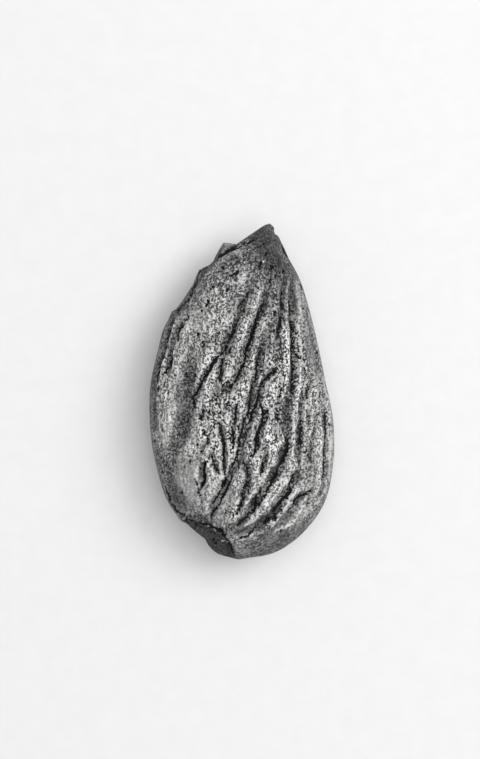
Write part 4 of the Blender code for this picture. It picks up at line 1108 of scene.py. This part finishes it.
def scurf_tree():
    """Scatters flat grains over the coat, thick where its scurf mask is strong, half sunk into it."""
    inputs = {
        "Geometry": "NodeSocketGeometry",
        "Grains per Square Millimetre": 60.0,
        "Smallest Grain": 0.00002,
        "Largest Grain": 0.00006,
        "Lowest Side": 0.0,
        "Seed": 0,
        "Material": "NodeSocketMaterial",
    }
    tree = new_tree("Scurf scatter", "GeometryNodeTree", inputs, {"Geometry": "NodeSocketGeometry"})
    wire = Wiring(tree)
    given = wire.outputs("NodeGroupInput")
    scurf, place = wire.kept("scurf"), wire.value("GeometryNodeInputPosition")
    clumps = wire.ramp(wire.noise(place, SCURF_CLUMPS, 2.0, 0.6), 0.42, 0.62)
    off_crack = wire.ramp(wire.kept("crack"), -0.5, 0.0, 1.0, 0.0)
    thick = scurf * scurf * (clumps * wire.kept("grainy")) * off_crack
    normal = wire.value("GeometryNodeInputNormal")
    up = wire.value("ShaderNodeSeparateXYZ", {0: normal}, "Z")
    facing = wire.value(
        "FunctionNodeCompare", {"A": up * given["Lowest Side"], "B": 0.0}, operation="GREATER_EQUAL"
    )
    spread = wire.outputs(
        "GeometryNodeDistributePointsOnFaces",
        {
            "Mesh": given["Geometry"],
            "Selection": facing,
            "Density": given["Grains per Square Millimetre"] * 1e6 * thick,
            "Seed": given["Seed"],
        },
    )
    ball = wire.value("GeometryNodeMeshIcoSphere", {"Radius": 1.0, "Subdivisions": 1}, "Mesh")
    size = wire.math("POWER", wire.random(given["Seed"]), MORE_SMALL_GRAINS)
    radius = given["Smallest Grain"] + size * (given["Largest Grain"] - given["Smallest Grain"])
    shape = wire.random(given["Seed"] + 1.0, (0.7, 0.7, 0.35), (1.5, 1.1, 0.7))
    placing = {"Points": spread["Points"], "Instance": ball, "Rotation": spread["Rotation"]}
    grains = wire.value("GeometryNodeInstanceOnPoints", {**placing, "Scale": wire.scaled(shape, radius)})
    spin = wire.random(given["Seed"] + 2.0, (-0.4, -0.4, 0.0), (0.4, 0.4, 6.283))
    turned = wire.value("GeometryNodeRotateInstances", {"Instances": grains, "Rotation": spin})
    tone = {"Geometry": turned, "Name": "tone", "Value": wire.random(given["Seed"] + 3.0)}
    wire.finish(wire.value("GeometryNodeStoreNamedAttribute", tone, domain="INSTANCE"), given["Material"])
    return tree


def speckle_group():
    """Fine irregular specks: a mask of them and their height."""
    inputs = {"Vector": "NodeSocketVector", "Specks per Metre": 8000.0, "Coverage": 0.5, "Softness": 0.12}
    outputs = {"Mask": "NodeSocketFloat", "Height": "NodeSocketFloat"}
    tree = new_tree("Speckle", "ShaderNodeTree", inputs, outputs)
    wire = Wiring(tree)
    given = wire.outputs("NodeGroupInput")
    field = wire.noise(given["Vector"], given["Specks per Metre"], 3.0, 0.62)
    middle = wire.ramp(given["Coverage"], 0.0, 1.0, 0.66, 0.34)
    mask = wire.ramp(field, middle - given["Softness"], middle + given["Softness"])
    wire.node("NodeGroupOutput", {"Mask": mask, "Height": field})
    return tree


def placed(wire, group, vector, per_metre, softness):
    """The shared group, placed in a material with its own values."""
    inputs = {"Vector": vector, "Specks per Metre": per_metre, "Softness": softness}
    made = wire.node("ShaderNodeGroup", inputs, node_tree=group)
    return Value(wire, made.outputs["Mask"]), Value(wire, made.outputs["Height"])


def new_material(name):
    """A material, the wiring of its nodes, its shader, and the place on the piece."""
    material = bpy.data.materials.new(name)
    material.use_nodes = True
    wire = Wiring(material.node_tree)
    place = wire.value("ShaderNodeTexCoord", output="Object")
    return material, wire, material.node_tree.nodes["Principled BSDF"], place


def attributes(wire, *names):
    """Values that are kept on the mesh, for a material."""
    return [wire.value("ShaderNodeAttribute", output="Fac", attribute_name=name) for name in names]


def coat_material(colours, speckle):
    """Dry, wrinkled seed coat: dark skin, pale scurf on ridges, a near black scar, painted shade in cracks,
    creases, hollows and at the edges.
    """
    material, wire, shader, place = new_material("seed coat")
    straight = wire.value("ShaderNodeAttribute", output="Vector", attribute_name="straight")
    crack, valley, crest, ridge, crease, fold = attributes(
        wire, "crack", "valley", "crest", "ridge", "crease", "fold"
    )
    scurf, bare, raised, grainy = attributes(wire, "scurf", "bare", "raised", "grainy")
    shade, scar, painted_edge_shade = attributes(wire, "shade", "scar", "painted_edge_shade")

    # The grain: one field of fine light and dark, and thin lines that run with the wrinkles. The wrinkles'
    # folds and the raised grain feed the field too, so that lows come out darker and highs paler: painted
    # shade and painted light of the relief.
    streaks = wire.noise(wire.stretched(straight, (1.0, 1.0, STREAK_STRETCH)), STREAKS_PER_METRE, 3.0, 0.62)
    clouds = wire.noise(place, CLOUDS_PER_METRE, 4.0, 0.6)
    _, fine = placed(wire, speckle, place, FINE_PER_METRE, 0.08)
    along = wire.stretched(straight, (1.0, 1.0, LINE_STRETCH))
    _, coarse = placed(wire, speckle, along, LINES_PER_METRE, 0.12)
    crisp = wire.noise(place, CRISP_PER_METRE, 1.0, 0.5)
    # Folds and raised grain: painted shade in the lows and painted light on the highs.
    field = fine * 0.34 + crisp * 0.66 - 0.05 + streaks * 0.10 + raised * 0.04 + fold * 0.10
    field = (field - 0.5) * wire.ramp(grainy, 0.4, 1.0, 0.9, 1.35) + 0.5
    pits, flecks = wire.ramp(field, *PIT_TONES), wire.ramp(field, *FLECK_TONES)
    off_line = coarse - 0.5
    line = wire.ramp(wire.math("ABSOLUTE", off_line), *LINE_EDGES) * wire.ramp(fine, 0.60, 0.45)
    beside = wire.ramp(off_line, 0.025, 0.04) * wire.ramp(off_line, 0.075, 0.055)

    # The skin: a thin bloom over it, dark floors of the valleys, partly the skin's own tone and partly
    # painted shade in the hollows, smooth bare parts, dark parts, and painted shade along the edges.
    cover = scurf * 0.85 + ridge * 0.40 - 0.15 + (clouds - 0.5) * 0.65
    cover = wire.math("ADD", cover, (streaks - 0.5) * 0.9, clamp=True)
    colour = wire.mix(cover, colours.skin, colours.bloom)
    # Valley floors: darker, partly the skin's own tone and partly painted shade in the hollows.
    floor = wire.mix(wire.ramp(field, 0.44, 0.56), colours.dark_skin_and_shade, colours.skin)
    colour = wire.mix(valley * 0.9, colour, floor)
    mottle = streaks * 0.6 + field * 0.4
    smooth_skin = wire.mix(wire.ramp(mottle, 0.46, 0.55), colours.bare_dark, colours.bare_pale)
    colour = wire.mix(bare * 0.85, colour, smooth_skin)
    # Dark patches, and painted shade along the edges where the sides turn from the light.
    shaded = wire.larger(shade * 0.85, painted_edge_shade) * wire.ramp(field, 0.42, 0.58, 0.96, 0.60)
    colour = wire.mix(shaded, colour, colours.dark_skin_and_shade)

    # The grain's pits and thin lines go near black, partly their own dark and partly painted shade; the
    # wrinkles' creases get painted shade. Then the scar lies over it.
    calm = wire.ramp(wire.larger(bare, painted_edge_shade), 0.0, 1.0, 1.0, 0.55)
    low = wire.larger(pits, wire.larger(crease, line) * 0.8) * calm * grainy
    colour = wire.mix(low * 0.98, colour, colours.pit_and_crease_shade)
    scarred = wire.mix(wire.ramp(coarse, 0.42, 0.58), colours.scar, colours.bare_dark)
    scarred = wire.mix(wire.ramp(field, 0.55, 0.60, 0.0, 0.6), scarred, colours.skin)
    colour = wire.mix(scar * 0.95, colour, scarred)

    # Pale grains where the field is high, partly the grain's own pale specks and partly painted light on the
    # relief's highs; fewer in valleys, in dark parts and on smooth skin.
    pale = wire.larger(flecks, beside) * (1.0 - scar)
    pale = pale * wire.ramp(cover, 0.1, 0.9, 0.42, 1.0) * wire.ramp(valley, 0.1, 0.7, 1.0, 0.45)
    pale = pale * wire.ramp(wire.larger(shade * 0.3, low), 0.0, 1.0, 1.0, 0.3)
    pale = pale * calm * wire.ramp(grainy, 0.2, 1.0, 0.3, 1.0)
    crests = crest * wire.ramp(field, 0.42, 0.52, 0.1, 0.92)
    colour = wire.mix(wire.larger(pale, crests), colour, colours.scurf)
    colour = wire.mix(shade * 0.72, colour, colours.pit_and_crease_shade)

    # Cracks and pits: painted shade in them, a dark halo and a near black core, with edges torn by the grain.
    torn = crack + (field - 0.5) * -2.6 + scar * 0.42
    colour = wire.mix(wire.ramp(torn, -0.60, 0.0) * 0.65, colour, colours.dark_skin_and_shade)
    colour = wire.mix(wire.ramp(torn, -0.24, -0.04) * 0.98, colour, colours.crack_shade)

    height = (fine + coarse * 0.8 - line * 0.12) * wire.ramp(bare, 0.2, 1.0, 1.0, 0.5)
    bump = {"Height": height, "Strength": 1.0, "Distance": COAT_BUMP}
    finish = {
        "Base Color": colour,
        "Roughness": wire.ramp(pale, 0.0, 1.0, 0.55, 0.85) - bare * 0.08,
        "Normal": wire.value("ShaderNodeBump", bump),
        "Specular IOR Level": 0.16,
    }
    wire.feed(shader, finish)
    return material


def scurf_material(colours, speckle):
    """Dry, pale, dusty grains, each with its own tone."""
    material, wire, shader, place = new_material("scurf")
    specks, height = placed(wire, speckle, place, DUST_PER_METRE, 0.15)
    (tone,) = attributes(wire, "tone")
    colour = wire.mix(wire.ramp(tone, 0.1, 0.9), colours.bloom, colours.scurf)
    bump = {"Height": height, "Strength": 0.5, "Distance": SCURF_BUMP}
    finish = {
        "Base Color": wire.mix(specks * 0.3, colour, colours.skin),
        "Roughness": wire.ramp(height, 0.3, 0.7, 0.7, 0.9),
        "Normal": wire.value("ShaderNodeBump", bump),
        "Specular IOR Level": 0.25,
    }
    wire.feed(shader, finish)
    return material


def floor_material(stage, speckle):
    """Plain pale card with a barely visible tooth."""
    material, wire, shader, place = new_material("floor card")
    specks, height = placed(wire, speckle, place, TOOTH_PER_METRE, 0.2)
    pale = tuple(stage.floor_colour)
    greyer = tuple(part * FLOOR_TOOTH for part in pale[:3]) + (1.0,)
    finish = {
        "Base Color": wire.mix(specks, pale, greyer),
        "Roughness": wire.ramp(height, 0.3, 0.7, 0.75, 0.85),
        "Specular IOR Level": 0.2,
    }
    wire.feed(shader, finish)
    return material


def shared_speckle():
    """The one speckle group that all the materials use."""
    return bpy.data.node_groups.get("Speckle") or speckle_group()


def new_object(name, data):
    """An object in the scene, at the origin."""
    made = bpy.data.objects.new(name, data)
    bpy.context.scene.collection.objects.link(made)
    return made


def piece_of(mesh, name):
    """A piece of the kernel, parented to its root body so that it rides with it."""
    piece = new_object(name, mesh)
    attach(piece, "root")
    return piece


def length_property(name, description, default):
    return bpy.props.FloatProperty(
        name=name, description=description, default=default, min=0.0, precision=6, unit="LENGTH"
    )


def colour_property(name, description, grey):
    return bpy.props.FloatVectorProperty(
        name=name, description=description, default=(*grey, 1.0), size=4, min=0.0, max=1.0, subtype="COLOR"
    )


class KernelRelief(bpy.types.PropertyGroup):
    """The fine relief of the seed coat between its furrows."""

    wrinkle_height: length_property("Wrinkle height", "Height of the wrinkles between the furrows", 0.00009)
    wrinkle_size: length_property("Wrinkle size", "Width of the wrinkles between the furrows", 0.00032)
    grain_height: length_property("Grain height", "Height of the coat's coarse grain", 0.00006)
    grain_size: length_property("Grain size", "Width of the coat's coarse grain", 0.00017)
    seed: bpy.props.IntProperty(name="Seed", description="Which pattern of wrinkles and grain", default=4)


class KernelScurf(bpy.types.PropertyGroup):
    """The pale grains that lie on the seed coat."""

    density: bpy.props.FloatProperty(
        name="Density", description="Grains per square millimetre where they are densest", default=90.0, min=0
    )
    smallest: length_property("Smallest grain", "Half width of the smallest grains", 0.000018)
    largest: length_property("Largest grain", "Half width of the largest grains", 0.000046)
    seed: bpy.props.IntProperty(name="Seed", description="Which scatter of grains", default=7)


class KernelColours(bpy.types.PropertyGroup):
    """The seed coat's colours."""

    # Dark skin of the valley floors and dark patches, and also painted shade: in the hollows, along the edges
    # and beside the cracks.
    dark_skin_and_shade: colour_property("Dark skin", "Skin in the shallow hollows", (0.042, 0.042, 0.041))
    skin: colour_property("Skin", "Skin between the furrows", (0.150, 0.150, 0.148))
    bloom: colour_property("Bloom", "Thin dusty bloom on the skin", (0.450, 0.450, 0.445))
    scurf: colour_property("Scurf", "Loose pale grains on the ridges", (0.860, 0.860, 0.850))
    bare_dark: colour_property("Bare skin, dark", "Bare skin where it is darkest", (0.060, 0.060, 0.059))
    bare_pale: colour_property("Bare skin, pale", "Bare skin where it is palest", (0.210, 0.210, 0.207))
    # Painted shade: the near black inside the cracks and pits.
    crack_shade: colour_property("Furrow", "Bottoms of the furrows", (0.004, 0.004, 0.004))
    # Near black of the grain's pits and thin lines, partly their own dark and partly painted shade, and
    # painted shade in the wrinkles' creases; the dark patches also go towards it.
    pit_and_crease_shade: colour_property("Pit", "Pits of the grain", (0.014, 0.014, 0.014))
    scar: colour_property("Scar", "Scar at the blunt end", (0.018, 0.018, 0.018))


class KernelStage(bpy.types.PropertyGroup):
    """Floor, light and camera."""

    floor_colour: colour_property("Floor colour", "Colour of the floor", (0.800, 0.800, 0.800))
    floor_size: length_property("Floor size", "Length of the floor's sides", 1.2)
    key_power: bpy.props.FloatProperty(
        name="Key light", description="Power of the light from the upper right", default=0.27, unit="POWER"
    )
    top_power: bpy.props.FloatProperty(
        name="Soft box", description="Power of the wide light overhead", default=0.71, unit="POWER"
    )
    ambient: bpy.props.FloatProperty(
        name="Ambient", description="Strength of the light from all sides", default=0.45
    )
    lens: bpy.props.FloatProperty(name="Lens", description="Focal length", default=85.0, unit="CAMERA")
    view_height: length_property("View height", "Height of the camera over the edge line", VIEW_HEIGHT * MM)
    view_shift: bpy.props.FloatVectorProperty(
        name="View shift", description="Where the camera stands in plan", size=2, unit="LENGTH", precision=6,
        default=[away * MM for away in VIEW_AXIS],
    )


class KERNEL_OT_seed_coat(bpy.types.Operator):
    """Make the furrowed seed coat, with its scar, its tip and its torn edge"""

    bl_idname = "kernel.seed_coat"
    bl_label = "Seed coat"

    def execute(self, context):
        points, masks, straight, share = seed_coat_form()
        mesh = bpy.data.meshes.new("seed_coat_form")
        mesh.from_pydata((points * MM).tolist(), [], coat_faces())
        mesh.shade_smooth()
        for name, values in masks.items():
            store(mesh, name, values)
        store(mesh, "straight", straight, "FLOAT_VECTOR")
        add_coat_map(mesh, share)
        relief = context.scene.kernel_relief
        values = {
            "Wrinkle Height": relief.wrinkle_height,
            "Wrinkle Size": relief.wrinkle_size,
            "Grain Height": relief.grain_height,
            "Grain Size": relief.grain_size,
            "Seed": float(relief.seed),
            "Material": coat_material(context.scene.kernel_colours, shared_speckle()),
        }
        name = "kernel_seed_coat"
        coat = piece_of(finished_mesh(mesh, coat_relief_tree(), values, name), name)
        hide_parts("kernel")
        return {"FINISHED"}


def rest_flat(mesh):
    """Presses flat what would reach below the surface that the kernel lies on."""
    points = np.empty(len(mesh.vertices) * 3)
    mesh.vertices.foreach_get("co", points)
    points = points.reshape(-1, 3)
    points[:, 2] = np.maximum(points[:, 2], 0)
    mesh.vertices.foreach_set("co", points.ravel())
    mesh.update()


def finished_mesh(ground, tree, values, name):
    """The plain mesh that the tree makes of a mesh, with the named inputs set, lying on the surface."""
    source = new_object("ground", ground)
    modifier = source.modifiers.new(tree.name, "NODES")
    modifier.node_group = tree
    for item in tree.interface.items_tree:
        if item.item_type == "SOCKET" and item.in_out == "INPUT" and item.name in values:
            modifier[item.identifier] = values[item.name]
    evaluated = source.evaluated_get(bpy.context.evaluated_depsgraph_get())
    mesh = bpy.data.meshes.new_from_object(evaluated)
    mesh.name = name
    source.modifiers.remove(modifier)
    bpy.data.objects.remove(source)
    rest_flat(mesh)
    return mesh


class KERNEL_OT_scurf(bpy.types.Operator):
    """Scatter pale grains over the seed coat, on its back and on its belly"""

    bl_idname = "kernel.scurf"
    bl_label = "Scurf"

    def execute(self, context):
        coat = bpy.data.objects["kernel_seed_coat"]
        scurf = context.scene.kernel_scurf
        values = {
            "Grains per Square Millimetre": scurf.density,
            "Smallest Grain": scurf.smallest,
            "Largest Grain": scurf.largest,
            "Seed": scurf.seed,
            "Material": scurf_material(context.scene.kernel_colours, shared_speckle()),
        }
        tree = scurf_tree()
        for name, side in (("scurf_on_back", 1.0), ("scurf_on_belly", -1.0)):
            piece_of(finished_mesh(coat.data, tree, {**values, "Lowest Side": side}, name), name)
        return {"FINISHED"}


def add_light(name, place, size, power):
    """A round soft light that looks at the kernel."""
    lamp = bpy.data.lights.new(name, "AREA")
    lamp.shape = "DISK"
    lamp.size = size
    lamp.energy = power
    light = new_object(name, lamp)
    light.location = place
    light.rotation_euler = (-Vector(place)).to_track_quat("-Z", "Y").to_euler()
    light.visible_camera = False


class KERNEL_OT_stage(bpy.types.Operator):
    """Make the pale floor, the soft light and the camera that looks straight down"""

    bl_idname = "kernel.stage"
    bl_label = "Stage"

    def execute(self, context):
        stage = context.scene.kernel_stage
        half = stage.floor_size / 2
        mesh = bpy.data.meshes.new("floor")
        corners = [(-half, -half, 0), (half, -half, 0), (half, half, 0), (-half, half, 0)]
        mesh.from_pydata(corners, [], [(0, 1, 2, 3)])
        mesh.materials.append(floor_material(stage, shared_speckle()))
        new_object("floor", mesh)

        world = bpy.data.worlds.new("pale room")
        world.use_nodes = True
        background = world.node_tree.nodes["Background"]
        background.inputs["Color"].default_value = (1.0, 1.0, 1.0, 1.0)
        background.inputs["Strength"].default_value = stage.ambient
        context.scene.world = world
        context.scene.view_settings.view_transform = "Standard"
        add_light("soft box", (0.085, 0.045, 0.30), 0.40, stage.top_power)
        add_light("key", (0.18, 0.08, 0.20), 0.16, stage.key_power)

        lens = bpy.data.cameras.new("camera")
        lens.lens = stage.lens
        lens.sensor_width = 36.0
        lens.clip_start = 0.001
        lens.clip_end = 10.0
        camera = new_object("camera", lens)
        camera.location = (*stage.view_shift, EDGE_HEIGHT * MM + stage.view_height)
        context.scene.camera = camera
        return {"FINISHED"}


class KERNEL_PT_panel(bpy.types.Panel):
    """Lists the kernel's settings, with buttons that make its pieces and its stage"""

    bl_idname = "KERNEL_PT_panel"
    bl_label = "Apricot kernel"
    bl_space_type = "VIEW_3D"
    bl_region_type = "UI"
    bl_category = "Kernel"

    def draw(self, context):
        for settings, names, operator in (
            (context.scene.kernel_relief, KernelRelief.__annotations__, KERNEL_OT_seed_coat.bl_idname),
            (context.scene.kernel_colours, KernelColours.__annotations__, None),
            (context.scene.kernel_scurf, KernelScurf.__annotations__, KERNEL_OT_scurf.bl_idname),
            (context.scene.kernel_stage, KernelStage.__annotations__, KERNEL_OT_stage.bl_idname),
        ):
            box = self.layout.box()
            for name in names:
                box.prop(settings, name)
            if operator:
                box.operator(operator)


SETTINGS = {
    "kernel_relief": KernelRelief,
    "kernel_scurf": KernelScurf,
    "kernel_colours": KernelColours,
    "kernel_stage": KernelStage,
}
CLASSES = (*SETTINGS.values(), KERNEL_OT_seed_coat, KERNEL_OT_scurf, KERNEL_OT_stage, KERNEL_PT_panel)


def register():
    for cls in CLASSES:
        bpy.utils.register_class(cls)
    for name, settings in SETTINGS.items():
        setattr(bpy.types.Scene, name, bpy.props.PointerProperty(type=settings))


def unregister():
    for name in SETTINGS:
        delattr(bpy.types.Scene, name)
    for cls in reversed(CLASSES):
        bpy.utils.unregister_class(cls)


def main():
    register()
    bpy.ops.kernel.seed_coat()
    bpy.ops.kernel.scurf()
    bpy.ops.kernel.stage()


if __name__ == "__main__":
    main()
